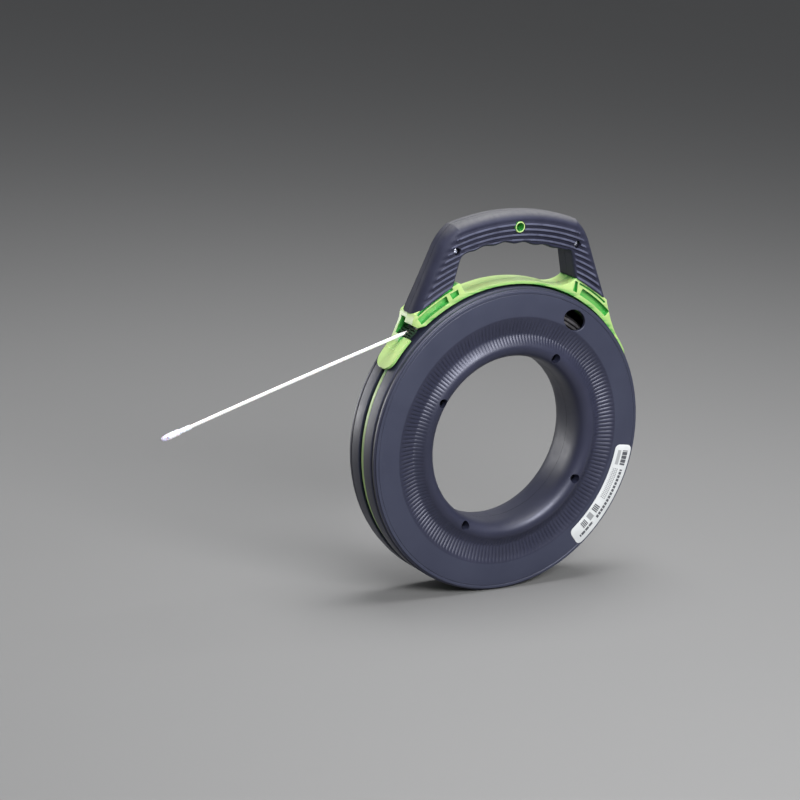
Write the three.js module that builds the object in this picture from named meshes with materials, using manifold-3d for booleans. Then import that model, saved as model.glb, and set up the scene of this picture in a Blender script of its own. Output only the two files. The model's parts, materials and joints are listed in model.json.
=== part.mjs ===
// Fish tape reel: a 12 inch winder case that turns on a ring held by a carrying handle.
// Millimetres, +Z up. The reel's axis is Y and its front face looks towards -Y. Every piece
// is drawn round the centre of the case, and the whole reel is then moved so that the
// origin lies on the flat it rests on: the rear crest, straight above the case's axis.

import * as THREE from 'three';
import { mergeVertices } from 'three/addons/utils/BufferGeometryUtils.js';
import Module from 'manifold-3d';

const wasm = await Module();
wasm.setup();

// ---------------------------------------------------------------- driving dimensions

const GAP = 0.3;                  // between pieces that rest on or sit in each other
const SPLIT = 0.15;               // each half stops this far from the middle plane
const RING_STEPS = 48;            // facets round the case, the ring and their cuts

const CASE_R = 152.4;             // 12 inch case
const CASE_WALL = 3;
const SLOT_HALF = 4.5;            // half of the open slot round the rim
const BAND_HALF = 17.8;           // half-width of the full-diameter rim band
const FACE_Y = 24.8;              // flat outer face
const CREST_Y = 27.3;             // rounded crest round the hub opening
const CREST_R = 93.6;
const HUB_R = 83.5;               // hand opening through the hub
const COVE_OUTER_R = 124;         // ribbed cove between the face and the crest
const COVE_LOW_R = 107;
const COVE_LOW_Y = 21.5;

const CASE_SCREW_R = 92.3;        // screw circle in the hub
const CASE_SCREW_START = 60.5;    // degrees from +X towards +Z
const CASE_SCREW_SEAT = 15;       // heads sink in recesses that break the hub's crest
const CASE_BOSS = { r: 5.6, top: 23.5, recess: 4.6 };
const SCREW_SHANK_R = 1.9;
const SCREW_HOLE_R = 2.3;
const CASE_SCREW_HEAD = { r: 3.9, height: 3, tip: 15 };
const FOOT_SCREW_HEAD = { r: 3.8, height: 2.8, tip: -7, seat: 9, recess: 4.3 };
const GRIP_SCREW_HEAD = { r: 3.2, height: 2.6, tip: 6.5, recess: 3.6 };

const PORT = { r: 133.9, angle: 60.8, radial: 9.9, tangential: 13.3 };
const LABEL = { inner: 129, outer: 148.4, from: 308.3, to: 353.4, corner: 6, thickness: 0.4 };

const RING_INNER_R = 145.2;
const RING_FLANGE_R = 148.2;
const RING_R = 150.7;
const RING_FLANGE_HALF = 6.5;
const RING_WEB_HALF = 2.2;

const COIL_INNER_R = 100;
const COIL_OUTER_R = 136.6;
const COIL_HALF = 15.5;
const COIL_SOFTENING = 5;         // rounding of the bundle's four corners
const ANCHOR = { angle: 105, y: 9, seat: HUB_R + CASE_WALL };  // inner end of the tape

const BAND_INNER_R = 154.7;       // handle saddle, concentric with the case
const BAND_OUTER_R = 157.4;
const FRAME_Y = 13.6;             // half-width of the handle frame
const BAND_END = { left: 60, right: 63.5 };     // the saddle's ends, in degrees from the top
const BAND_CORNER = 12;           // rounding of the saddle's ends, seen from outside
const FOOT_INNER = 21;            // feet, in degrees from the top: at the saddle,
const FOOT_HEEL = { left: 21.8, right: 24.6 };  // under the grip's inner edge,
const FOOT_OUTER = 40.2;          // and under its outer edge
const FOOT_TOP_R = 171.6;
const FOOT_POCKET = { inner: 158.6, outer: 166.6, front: 8.8, rear: 11.6, from: 26.6, to: 38.6 };
const TAIL = { r: 158.5, bend: 42.5, end: 37 };         // taper of the right foot
const KEEL = { inner: 151.2, half: 1.6, from: 33, to: 126 };  // runs in the slot round the rim
const LUG_ANGLE = 29;             // ring lugs and foot screws, in degrees from the top
const LUG_HALF_WIDTH = 6.5;
const LUG_TOP_R = 166.5;
const LUG_HALF = 1.6;
const FOOT_SCREW_R = 161.5;
const MOUTH = { from: 131.4, to: 136.8, back: 10 };     // gap that the tape leaves by
const HEEL = [[166.8, 1.6], [159.7, 0.8], [155.3, -2]]; // its front edge, past MOUTH.from
const NOZZLE = [[166, 132.2], [160.6, 136.4]];          // slope of the block behind it
const NOZZLE_END = 140;                                 // and where it meets the tongue
const GUIDE = { inner: 155.2, outer: 158.8, front: -5.5, grooves: [133.6, 134.7, 135.8] };
const GUIDE_GROOVE = { depth: 1.6, width: 1.4 };

const GRIP_Y = 15;                // half-width of the rubber grip
const GRIP_BOTTOM_R = 171.9;
const GRIP_TOP_R = 225;
const GRIP_UNDER_R = 194.5;       // underside of the bar, above the fingers
const LEG_OUTER_FOOT = [111.2, 131];
const LEG_OUTER_HEAD = [87, 190.6];
const LEG_INNER_FOOT = [69.6, 157];
const LEG_INNER_HEAD = [64, 180];
const LEG_SLOPE = { outer: 1.08, inner: 1.02 };  // sideways shift of an edge per mm of inset
const BAR_SPAN = { top: 18, under: 16.5 };     // half-spans of the bar's arcs, in degrees
const BAR_BEND = { top: 14, under: 6 };        // height of each corner's bend above its leg
const GRIP_LAYERS = [[0, 11.4], [3, GRIP_Y]];  // its round edge, as [inset, half-width]
const CORE_INSET = 6.2;           // frame core inside the rubber
const CORE_Y = 9;
const EYELET = { r: 210.5, outer: 5.7, bore: 4 };
const GRIP_SCREW = [68.8, 190];

const TAPE_R = 1.7;               // 3.4 mm non-conductive rod
const TAPE_LINE_R = 139.5;        // the rod leaves the coil as a tangent of this radius
const TAPE_DROP = 18;             // degrees below the horizontal
const TAPE_START = 34;            // distances along that tangent from where it touches
const RING_GATE = { from: 20, to: 66, halfHeight: 3.2, halfWidth: 3 };
const FERRULE_START = 306;
const TIP_START = 318;
const TIP_END = 337;
const TIP_R = 3;
const FERRULE_R = 2.5;
const SOCKET_DEPTH = 6;           // how far the rod runs into the tip

const COLOURS = {
  polymer: { color: '#383b4a', roughness: 0.5, metalness: 0 },
  green: { color: '#9ad65a', roughness: 0.45, metalness: 0 },
  rubber: { color: '#2f3140', roughness: 0.7, metalness: 0 },
  steel: { color: '#b9bcc2', roughness: 0.3, metalness: 1 },
  tape: { color: '#e9e9e4', roughness: 0.4, metalness: 0 },
  nylon: { color: '#eeeef4', roughness: 0.35, metalness: 0 },
  label: { color: '#e6e8e8', roughness: 0.6, metalness: 0 },
  dark: { color: '#1c1f22', roughness: 0.6, metalness: 0 },
};

// ---------------------------------------------------------------- solids and shapes

const radians = THREE.MathUtils.degToRad;

function signedVolume(geometry) {
  const p = geometry.attributes.position;
  const index = geometry.index;
  const corner = [new THREE.Vector3(), new THREE.Vector3(), new THREE.Vector3()];
  let volume = 0;
  for (let i = 0; i < index.count; i += 3) {
    corner.forEach((v, k) => v.fromBufferAttribute(p, index.getX(i + k)));
    volume += corner[0].dot(corner[1].clone().cross(corner[2])) / 6;
  }
  return volume;
}

// A closed three.js geometry as a solid with its faces pointing out.
function solid(geometry) {
  const bare = geometry.clone();
  bare.deleteAttribute('normal');
  bare.deleteAttribute('uv');
  const merged = mergeVertices(bare, 1e-4);
  const triVerts = new Uint32Array(merged.index.array);
  if (signedVolume(merged) < 0) {
    for (let i = 0; i < triVerts.length; i += 3) {
      [triVerts[i], triVerts[i + 1]] = [triVerts[i + 1], triVerts[i]];
    }
  }
  const vertProperties = new Float32Array(merged.attributes.position.array);
  return new wasm.Manifold(new wasm.Mesh({ numProp: 3, vertProperties, triVerts }));
}

function geometryOf(body) {
  const mesh = body.getMesh();
  const geometry = new THREE.BufferGeometry();
  geometry.setAttribute('position', new THREE.BufferAttribute(mesh.vertProperties, 3));
  geometry.setIndex(new THREE.BufferAttribute(mesh.triVerts, 1));
  geometry.computeVertexNormals();
  return geometry;
}

const join = (first, ...rest) => rest.reduce((sum, next) => sum.add(next), first);
const cut = (first, ...rest) => rest.reduce((left, next) => left.subtract(next), first);

// A point on a circle round the reel's axis; the angle runs from +X towards +Z.
function polar(r, degrees) {
  return [r * Math.cos(radians(degrees)), r * Math.sin(radians(degrees))];
}

// A ring round the reel's axis from a closed profile of [radius, y] points.
function turned(profile, steps = RING_STEPS) {
  const points = profile.map(([r, y]) => new THREE.Vector2(r, y));
  points.push(points[0].clone());
  return solid(new THREE.LatheGeometry(points, steps));
}

// A shape drawn in the XZ plane, given thickness from y0 to y1.
function slab(shape, y0, y1, curveSegments = 12) {
  const geometry = new THREE.ExtrudeGeometry(shape, { depth: y1 - y0, bevelEnabled: false, curveSegments });
  geometry.rotateX(Math.PI / 2);
  geometry.translate(0, y1, 0);
  return solid(geometry);
}

function rod([x, z], r, y0, y1, sides = 12) {
  const geometry = new THREE.CylinderGeometry(r, r, y1 - y0, sides);
  geometry.translate(x, (y0 + y1) / 2, z);
  return solid(geometry);
}

// A box on a radius of the reel: r0..r1 outwards, y0..y1, and a width along the rim.
function radialBox(degrees, r0, r1, y0, y1, width) {
  const geometry = new THREE.BoxGeometry(r1 - r0, y1 - y0, width);
  geometry.translate((r0 + r1) / 2, (y0 + y1) / 2, 0);
  geometry.rotateY(-radians(degrees));
  return solid(geometry);
}

function sector(r0, r1, from, to) {
  const shape = new THREE.Shape();
  shape.moveTo(...polar(r1, from));
  shape.absarc(0, 0, r1, radians(from), radians(to), false);
  shape.lineTo(...polar(r0, to));
  shape.absarc(0, 0, r0, radians(to), radians(from), true);
  return shape;
}

// From y0 to y1 measured away from the middle plane, on the front (-1) or rear (1) side.
const span = (side, near, far) => (side < 0 ? [-far, -near] : [near, far]);

function piece(name, body, look) {
  const mesh = new THREE.Mesh(geometryOf(body), new THREE.MeshStandardMaterial(COLOURS[look]));
  mesh.name = name;
  return mesh;
}

// ---------------------------------------------------------------- winder case

const caseScrewAngles = [0, 90, 180, 270].map((turn) => CASE_SCREW_START + turn);

function caseProfile(side) {
  const outside = [
    [CASE_R, SLOT_HALF], [CASE_R, BAND_HALF], [CASE_R - 1.4, BAND_HALF + 0.8],
    [CASE_R - 1.4, FACE_Y - 3], [CASE_R - 3.6, FACE_Y],
    [COVE_OUTER_R, FACE_Y], [COVE_LOW_R, COVE_LOW_Y], [99.2, CREST_Y - 1.6],
    [CREST_R + 1.8, CREST_Y], [CREST_R - 1.8, CREST_Y], [87.4, 24.6], [84.4, 19.5],
    [HUB_R, 13], [HUB_R, SPLIT],
  ];
  const hubOuter = HUB_R + CASE_WALL;
  const inside = [
    [hubOuter, SPLIT], [hubOuter, 13], [89, 21.4], [CREST_R, 24.2],
    [COVE_LOW_R, COVE_LOW_Y - CASE_WALL], [COVE_OUTER_R, FACE_Y - CASE_WALL],
    [CASE_R - 5.4, FACE_Y - CASE_WALL], [CASE_R - 3.4, BAND_HALF], [CASE_R - 3.4, SLOT_HALF],
  ];
  return [...outside, ...inside].map(([r, y]) => [r, side * y]);
}

function caseHalf(side) {
  let half = turned(caseProfile(side));
  for (const angle of caseScrewAngles) {
    const centre = polar(CASE_SCREW_R, angle);
    half = join(half, rod(centre, CASE_BOSS.r, ...span(side, SPLIT, CASE_BOSS.top), 10));
  }
  for (const angle of caseScrewAngles) {
    const centre = polar(CASE_SCREW_R, angle);
    if (side < 0) {
      half = cut(half, rod(centre, CASE_BOSS.recess, ...span(side, CASE_SCREW_SEAT, CREST_Y + 1)));
      half = cut(half, rod(centre, SCREW_HOLE_R, ...span(side, -1, CASE_SCREW_SEAT + 1)));
    } else {
      half = cut(half, rod(centre, SCREW_HOLE_R, ...span(side, -1, CASE_SCREW_HEAD.tip + 1)));
    }
  }
  return half;
}

function frontCase() {
  const port = new THREE.CylinderGeometry(1, 1, 12, 32);
  port.scale(PORT.radial, 1, PORT.tangential);
  port.translate(PORT.r, -FACE_Y + 1, 0);
  port.rotateY(-radians(PORT.angle));
  return cut(caseHalf(-1), solid(port));
}

// The tape's inner end is clamped to the hub wall of the rear half.
function rearCase() {
  const pilot = new THREE.CylinderGeometry(1.5, 1.5, 2.6, 12);
  pilot.rotateZ(Math.PI / 2);
  pilot.translate(ANCHOR.seat - 0.7, ANCHOR.y, 0);
  pilot.rotateY(-radians(ANCHOR.angle));
  return cut(caseHalf(1), solid(pilot));
}

function anchorClip() {
  const base = ANCHOR.seat + GAP;
  const plate = radialBox(ANCHOR.angle, base, base + 1.6, ANCHOR.y - 5, ANCHOR.y + 5, 14);
  const hook = radialBox(ANCHOR.angle, base, base + 5.5, ANCHOR.y - 5, ANCHOR.y + 5, 2);
  const [hookX, hookZ] = polar(6, ANCHOR.angle + 90);
  const hole = new THREE.CylinderGeometry(1.6, 1.6, 8, 12);
  hole.rotateZ(Math.PI / 2);
  hole.translate(base, ANCHOR.y, 0);
  hole.rotateY(-radians(ANCHOR.angle));
  return cut(join(plate, hook.translate([hookX, 0, hookZ])), solid(hole));
}

function anchorScrew() {
  const profile = [
    [0, -1.6], [1.3, -1.6], [1.3, 2.2], [2.8, 2.2], [2.8, 3.4], [1.8, 4.2], [0, 4.2],
  ].map(([r, y]) => new THREE.Vector2(r, y));
  const geometry = new THREE.LatheGeometry(profile, 12);
  geometry.rotateZ(-Math.PI / 2);
  geometry.translate(ANCHOR.seat, ANCHOR.y, 0);
  geometry.rotateY(-radians(ANCHOR.angle));
  return solid(geometry);
}

// A pan-head screw along Y: its head's seat is at headY and it points towards the tip.
function screw([x, z], headY, { r, height, tip }) {
  const top = headY + Math.sign(headY - tip) * height;
  const profile = [
    [0, tip], [SCREW_SHANK_R, tip], [SCREW_SHANK_R, headY], [r, headY], [r * 0.8, top], [0, top],
  ].map(([radius, y]) => new THREE.Vector2(radius, y));
  return solid(new THREE.LatheGeometry(profile, 12)).translate([x, 0, z]);
}

// The wound turns of tape inside the case, as one ring with a rounded bundle section.
function coil() {
  const soft = COIL_SOFTENING;
  return turned([
    [COIL_INNER_R, -COIL_HALF + soft], [COIL_INNER_R + soft, -COIL_HALF],
    [COIL_OUTER_R - soft, -COIL_HALF], [COIL_OUTER_R, -COIL_HALF + soft],
    [COIL_OUTER_R, COIL_HALF - soft], [COIL_OUTER_R - soft, COIL_HALF],
    [COIL_INNER_R + soft, COIL_HALF], [COIL_INNER_R, COIL_HALF - soft],
  ], 40);
}

function label() {
  const { inner, outer, from, to, corner } = LABEL;
  const [outerTurn, innerTurn] = [outer, inner].map((r) => THREE.MathUtils.radToDeg(corner / r));
  const shape = new THREE.Shape();
  shape.absarc(0, 0, outer, radians(from + outerTurn), radians(to - outerTurn), false);
  shape.quadraticCurveTo(...polar(outer, to), ...polar(outer - corner, to));
  shape.lineTo(...polar(inner + corner, to));
  shape.quadraticCurveTo(...polar(inner, to), ...polar(inner, to - innerTurn));
  shape.absarc(0, 0, inner, radians(to - innerTurn), radians(from + innerTurn), true);
  shape.quadraticCurveTo(...polar(inner, from), ...polar(inner + corner, from));
  shape.lineTo(...polar(outer - corner, from));
  shape.quadraticCurveTo(...polar(outer, from), ...polar(outer, from + outerTurn));
  const back = -FACE_Y - 0.05;
  return slab(shape, back - LABEL.thickness, back, 6);
}

// ---------------------------------------------------------------- guide ring and tape

const tapeAngle = 90 + TAPE_DROP;

// Places a body made along +X from the origin onto the tape's line.
function alongTape(geometry) {
  geometry.rotateY(-radians(180 + TAPE_DROP));
  const [x, z] = polar(TAPE_LINE_R, tapeAngle);
  geometry.translate(x, 0, z);
  return solid(geometry);
}

function tapeTurned(profile, sides = 16) {
  const points = profile.map(([r, t]) => new THREE.Vector2(r, t));
  const geometry = new THREE.LatheGeometry(points, sides);
  geometry.rotateZ(-Math.PI / 2);
  return alongTape(geometry);
}

function tapeChannel(from, to, r) {
  return tapeTurned([[0, from], [r, from], [r, to], [0, to]], 20);
}

function tapeSlot({ from, to, halfHeight, halfWidth }) {
  const box = new THREE.BoxGeometry(to - from, halfWidth * 2, halfHeight * 2);
  box.translate((from + to) / 2, 0, 0);
  return alongTape(box);
}

function guideRing() {
  const ring = turned([
    [RING_INNER_R, -RING_FLANGE_HALF], [RING_FLANGE_R, -RING_FLANGE_HALF],
    [RING_FLANGE_R, -RING_WEB_HALF], [RING_R, -RING_WEB_HALF], [RING_R, RING_WEB_HALF],
    [RING_FLANGE_R, RING_WEB_HALF], [RING_FLANGE_R, RING_FLANGE_HALF],
    [RING_INNER_R, RING_FLANGE_HALF],
  ]);
  let body = ring;
  for (const angle of [90 - LUG_ANGLE, 90 + LUG_ANGLE]) {
    const width = 2 * LUG_HALF_WIDTH;
    body = join(body, radialBox(angle, RING_INNER_R + 1, LUG_TOP_R, -LUG_HALF, LUG_HALF, width));
    body = cut(body, rod(polar(FOOT_SCREW_R, angle), SCREW_HOLE_R, -3, 3));
  }
  return cut(body, tapeSlot(RING_GATE));
}

function leader() {
  const end = TIP_START + SOCKET_DEPTH;
  return tapeTurned([[0, TAPE_START], [TAPE_R, TAPE_START], [TAPE_R, end], [0, end]], 12);
}

function ferrule() {
  const bore = TAPE_R + 0.25;
  const stop = TIP_START - GAP;
  return tapeTurned([
    [bore, FERRULE_START], [FERRULE_R - 0.3, FERRULE_START], [FERRULE_R, FERRULE_START + 1.5],
    [FERRULE_R, stop], [bore, stop], [bore, FERRULE_START],
  ]);
}

function tapeTip() {
  const bore = TAPE_R + 0.25;
  const socket = TIP_START + SOCKET_DEPTH + GAP;
  const nose = 6;
  const profile = [[0, socket], [bore, socket], [bore, TIP_START], [TIP_R - 0.4, TIP_START]];
  profile.push([TIP_R, TIP_START + 1]);
  for (let i = 0; i <= 4; i += 1) {
    const turn = radians(i * 22.5);
    profile.push([TIP_R * Math.cos(turn), TIP_END - nose + nose * Math.sin(turn)]);
  }
  profile[profile.length - 1][0] = 0;
  const eye = new THREE.CylinderGeometry(1.2, 1.2, 10, 12);
  eye.translate(TIP_END - 5.5, 0, 0);
  return cut(tapeTurned(profile), alongTape(eye));
}

// ---------------------------------------------------------------- handle

// The arch of the handle, pulled in on every side by an inset. Its legs end on a circle
// round the reel's axis.
function archShape(inset, bottomR) {
  const lineX = ([x0, z0], [x1, z1], z) => x0 + ((x1 - x0) * (z - z0)) / (z1 - z0);
  const outer = (z) => lineX(LEG_OUTER_FOOT, LEG_OUTER_HEAD, z) - inset * LEG_SLOPE.outer;
  const inner = (z) => lineX(LEG_INNER_FOOT, LEG_INNER_HEAD, z) + inset * LEG_SLOPE.inner;
  const onCircle = (edge) => {
    let z = bottomR * 0.85;
    for (let i = 0; i < 30; i += 1) z = Math.sqrt(bottomR ** 2 - edge(z) ** 2);
    return Math.atan2(z, edge(z));
  };
  const topR = GRIP_TOP_R - inset;
  const underR = GRIP_UNDER_R + inset;
  const headZ = LEG_OUTER_HEAD[1] - inset * 0.4;
  const innerZ = LEG_INNER_HEAD[1] + inset;
  const topFrom = 90 - BAR_SPAN.top;
  const underFrom = 90 - BAR_SPAN.under;
  const footAngle = onCircle(outer);
  const heelAngle = onCircle(inner);
  const bendZ = LEG_OUTER_HEAD[1] + BAR_BEND.top - inset;
  const outerCorner = [outer(bendZ), bendZ];
  const innerCorner = [inner(innerZ + BAR_BEND.under), innerZ + BAR_BEND.under];
  const shape = new THREE.Shape();
  shape.absarc(0, 0, bottomR, heelAngle, footAngle, true);
  shape.lineTo(outer(headZ), headZ);
  shape.quadraticCurveTo(...outerCorner, ...polar(topR, topFrom));
  shape.absarc(0, 0, topR, radians(topFrom), radians(180 - topFrom), false);
  shape.quadraticCurveTo(-outerCorner[0], outerCorner[1], -outer(headZ), headZ);
  shape.absarc(0, 0, bottomR, Math.PI - footAngle, Math.PI - heelAngle, true);
  shape.lineTo(-inner(innerZ), innerZ);
  shape.quadraticCurveTo(-innerCorner[0], innerCorner[1], ...polar(underR, 180 - underFrom));
  shape.absarc(0, 0, underR, radians(180 - underFrom), radians(underFrom), true);
  shape.quadraticCurveTo(...innerCorner, inner(innerZ), innerZ);
  return shape;
}

const gripScrews = [[-GRIP_SCREW[0], GRIP_SCREW[1]], GRIP_SCREW];
const footScrews = [90 + LUG_ANGLE, 90 - LUG_ANGLE].map((angle) => polar(FOOT_SCREW_R, angle));
const eyeletCentre = [0, EYELET.r];

// The corner left over outside the rounded end of the saddle, on one side of the middle
// plane. It is drawn as seen from outside, with the saddle's end along +X.
function endRounding(end, side) {
  const r = BAND_CORNER;
  const past = r + 3;
  const shape = new THREE.Shape();
  shape.moveTo(0, r);
  shape.absarc(0, 0, r, Math.PI / 2, 0, true);
  shape.lineTo(past, 0);
  shape.lineTo(past, past);
  shape.lineTo(0, past);
  const depth = 12;
  const geometry = new THREE.ExtrudeGeometry(shape, { depth, bevelEnabled: false, curveSegments: 5 });
  geometry.translate(-r, FRAME_Y - r, -depth / 2);
  geometry.scale(1, side, 1);
  geometry.rotateY(-end * Math.PI / 2);
  geometry.translate((BAND_INNER_R + BAND_OUTER_R) / 2, 0, 0);
  geometry.rotateY(-radians(90 + end * (end > 0 ? BAND_END.left : BAND_END.right)));
  return solid(geometry);
}

// One foot under a leg of the grip, on the left (1) or right (-1) of the handle.
function footShape(end) {
  const at = (r, fromTop) => polar(r, 90 + end * fromTop);
  const heel = end > 0 ? FOOT_HEEL.left : FOOT_HEEL.right;
  const shape = new THREE.Shape();
  shape.moveTo(...at(BAND_INNER_R, FOOT_INNER));
  shape.lineTo(...at(BAND_OUTER_R, FOOT_INNER));
  shape.lineTo(...at(FOOT_TOP_R, heel));
  shape.absarc(0, 0, FOOT_TOP_R, radians(90 + end * heel), radians(90 + end * FOOT_OUTER), end < 0);
  shape.lineTo(...at(BAND_INNER_R, FOOT_OUTER));
  shape.absarc(0, 0, BAND_INNER_R, radians(90 + end * FOOT_OUTER), radians(90 + end * FOOT_INNER), end > 0);
  return shape;
}

// The right foot runs out along the saddle in a hollow taper.
function tailShape() {
  const from = 90 - FOOT_OUTER + 1;
  const to = TAIL.end;
  const shape = new THREE.Shape();
  shape.moveTo(...polar(BAND_INNER_R + 1, from));
  shape.lineTo(...polar(FOOT_TOP_R, from));
  shape.quadraticCurveTo(...polar(TAIL.r, TAIL.bend), ...polar(BAND_OUTER_R, to));
  shape.lineTo(...polar(BAND_INNER_R + 1, to));
  shape.absarc(0, 0, BAND_INNER_R + 1, radians(to), radians(from), false);
  return shape;
}

function frameHalf(side) {
  const width = span(side, SPLIT, FRAME_Y);
  const through = span(side, -1, FRAME_Y + 1);
  const bandTo = side < 0 ? MOUTH.from - 2 : 90 + BAND_END.left;
  const band = slab(sector(BAND_INNER_R, BAND_OUTER_R, 90 - BAND_END.right, bandTo), ...width, 16);
  const feet = [1, -1].map((end) => slab(footShape(end), ...width, 3));
  const tail = slab(tailShape(), ...width, 4);
  const nozzle = slab(side < 0 ? heelShape() : nozzleShape(), ...width);
  const core = slab(archShape(CORE_INSET, FOOT_TOP_R - 1), ...span(side, SPLIT, CORE_Y), 5);
  const keelShape = sector(KEEL.inner, BAND_INNER_R + 0.5, KEEL.from, KEEL.to);
  const keel = slab(keelShape, ...span(side, SPLIT, KEEL.half));
  let half = join(band, ...feet, tail, nozzle, core, keel);
  for (const angle of [90 - LUG_ANGLE, 90 + LUG_ANGLE]) {
    const slotWidth = 2 * LUG_HALF_WIDTH + 1;
    const slot = radialBox(angle, 150, LUG_TOP_R + 1, ...span(side, -1, LUG_HALF + GAP), slotWidth);
    half = cut(half, slot);
  }
  for (const end of [1, -1]) {
    half = cut(half, endRounding(end, side));
    half = cut(half, footPocket(end, side));
  }
  for (const centre of footScrews) {
    const depth = side < 0 ? 8 : FRAME_Y + 1;
    half = cut(half, rod(centre, SCREW_HOLE_R, ...span(side, -1, depth)));
    if (side > 0) {
      half = cut(half, rod(centre, FOOT_SCREW_HEAD.recess, ...span(side, FOOT_SCREW_HEAD.seat, FRAME_Y + 1)));
    }
  }
  for (const centre of gripScrews) {
    const depth = side < 0 ? CORE_Y + 1 : 7.5;
    half = cut(half, rod(centre, SCREW_HOLE_R, ...span(side, -1, depth)));
  }
  half = cut(half, rod(eyeletCentre, EYELET.outer + GAP, ...through, 24));
  if (side > 0) {
    const mouth = slab(sector(150, 175, MOUTH.from, MOUTH.to), -1, MOUTH.back);
    half = join(cut(half, mouth), tongue());
  }
  return cut(half, tapeChannel(40, 120, TAPE_R + 1));
}

// Past the mouth the saddle is one tongue as wide as the whole frame, moulded on the rear
// half. This is its front part.
function tongue() {
  const shape = sector(BAND_INNER_R, BAND_OUTER_R, MOUTH.to, 90 + BAND_END.left);
  return cut(slab(shape, -FRAME_Y, SPLIT + 0.2, 16), endRounding(1, -1));
}

// A shallow recess on the outside of each foot, between its rim ribs.
function footPocket(end, side) {
  const ends = [FOOT_POCKET.from, FOOT_POCKET.to].map((fromTop) => 90 + end * fromTop);
  const shape = sector(FOOT_POCKET.inner, FOOT_POCKET.outer, Math.min(...ends), Math.max(...ends));
  const floor = side < 0 ? FOOT_POCKET.front : FOOT_POCKET.rear;
  return slab(shape, ...span(side, floor, FRAME_Y + 1), 3);
}

// The front half stops at the mouth with a slanting heel.
function heelShape() {
  const shape = new THREE.Shape();
  shape.moveTo(...polar(BAND_INNER_R, MOUTH.from - 3));
  shape.lineTo(...polar(FOOT_TOP_R, MOUTH.from - 3));
  shape.lineTo(...polar(FOOT_TOP_R, 90 + FOOT_OUTER));
  HEEL.forEach(([r, past]) => shape.lineTo(...polar(r, MOUTH.from + past)));
  return shape;
}

// The block behind the mouth, from the left foot down to the saddle's end.
function nozzleShape() {
  const shape = new THREE.Shape();
  shape.moveTo(...polar(BAND_INNER_R, MOUTH.from - 3));
  shape.lineTo(...polar(FOOT_TOP_R, MOUTH.from - 3));
  shape.lineTo(...polar(FOOT_TOP_R, 90 + FOOT_OUTER));
  NOZZLE.forEach((corner) => shape.lineTo(...polar(...corner)));
  shape.lineTo(...polar(BAND_OUTER_R, NOZZLE_END));
  shape.lineTo(...polar(BAND_INNER_R, NOZZLE_END));
  return shape;
}

// Ribbed insert that steadies the tape in the mouth, with the tape's way through it.
function tapeGuide() {
  const shape = sector(GUIDE.inner, GUIDE.outer, MOUTH.from + 1.2, MOUTH.to - 0.4);
  const block = slab(shape, GUIDE.front, MOUTH.back - GAP);
  const { depth, width } = GUIDE_GROOVE;
  const grooves = GUIDE.grooves.map((angle) => {
    return radialBox(angle, GUIDE.outer - depth, GUIDE.outer + 2, GUIDE.front - 1, MOUTH.back, width);
  });
  return cut(block, tapeChannel(40, 120, TAPE_R + 0.5), ...grooves);
}

function gripHalf(side) {
  const layers = GRIP_LAYERS.map(([inset, y]) => {
    return slab(archShape(inset, GRIP_BOTTOM_R), ...span(side, SPLIT, y), 6);
  });
  const outside = join(...layers);
  const pocket = slab(archShape(CORE_INSET - GAP, FOOT_TOP_R - 4), ...span(side, -1, CORE_Y + GAP), 5);
  let half = cut(outside, pocket, rod(eyeletCentre, EYELET.outer + GAP, ...span(side, -1, GRIP_Y + 1), 24));
  if (side < 0) {
    for (const centre of gripScrews) {
      half = cut(half, rod(centre, GRIP_SCREW_HEAD.recess, ...span(side, CORE_Y - 1, GRIP_Y + 1)));
    }
  }
  return half;
}

function eyelet() {
  const half = GRIP_Y + 0.2;
  const geometry = new THREE.LatheGeometry([
    [EYELET.bore, -half], [EYELET.outer - 0.6, -half], [EYELET.outer, -half + 0.6],
    [EYELET.outer, half - 0.6], [EYELET.outer - 0.6, half], [EYELET.bore, half],
    [EYELET.bore, -half],
  ].map(([r, y]) => new THREE.Vector2(r, y)), 24);
  geometry.translate(0, 0, EYELET.r);
  return solid(geometry);
}

// ---------------------------------------------------------------- assembly

const handle = new THREE.Group();
handle.add(piece('frame_front_half', frameHalf(-1), 'green'));
handle.add(piece('frame_rear_half', frameHalf(1), 'green'));
handle.add(piece('grip_front_half', gripHalf(-1), 'rubber'));
handle.add(piece('grip_rear_half', gripHalf(1), 'rubber'));
handle.add(piece('hang_eyelet', eyelet(), 'green'));
handle.add(piece('guide_ring', guideRing(), 'green'));
handle.add(piece('tape_guide', tapeGuide(), 'dark'));
gripScrews.forEach((centre, i) => {
  handle.add(piece(`grip_screw_${i + 1}`, screw(centre, -CORE_Y - GAP, GRIP_SCREW_HEAD), 'steel'));
});
footScrews.forEach((centre, i) => {
  const body = screw(centre, FOOT_SCREW_HEAD.seat + GAP, FOOT_SCREW_HEAD);
  handle.add(piece(`foot_screw_${i + 1}`, body, 'steel'));
});

const winder = new THREE.Group();
winder.add(piece('case_front_half', frontCase(), 'polymer'));
winder.add(piece('case_rear_half', rearCase(), 'polymer'));
caseScrewAngles.forEach((angle, i) => {
  const body = screw(polar(CASE_SCREW_R, angle), -CASE_SCREW_SEAT - GAP, CASE_SCREW_HEAD);
  winder.add(piece(`case_screw_${i + 1}`, body, 'steel'));
});
winder.add(piece('tape_coil', coil(), 'tape'));
winder.add(piece('tape_anchor_clip', anchorClip(), 'steel'));
winder.add(piece('anchor_screw', anchorScrew(), 'steel'));
winder.add(piece('case_label', label(), 'label'));

const tape = new THREE.Group();
tape.add(piece('tape_leader', leader(), 'tape'));
tape.add(piece('tape_ferrule', ferrule(), 'nylon'));
tape.add(piece('tape_tip', tapeTip(), 'nylon'));

const reel = new THREE.Group();
reel.add(handle, winder, tape);
reel.position.set(0, -CREST_Y, -CREST_R);

export default reel;
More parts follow.
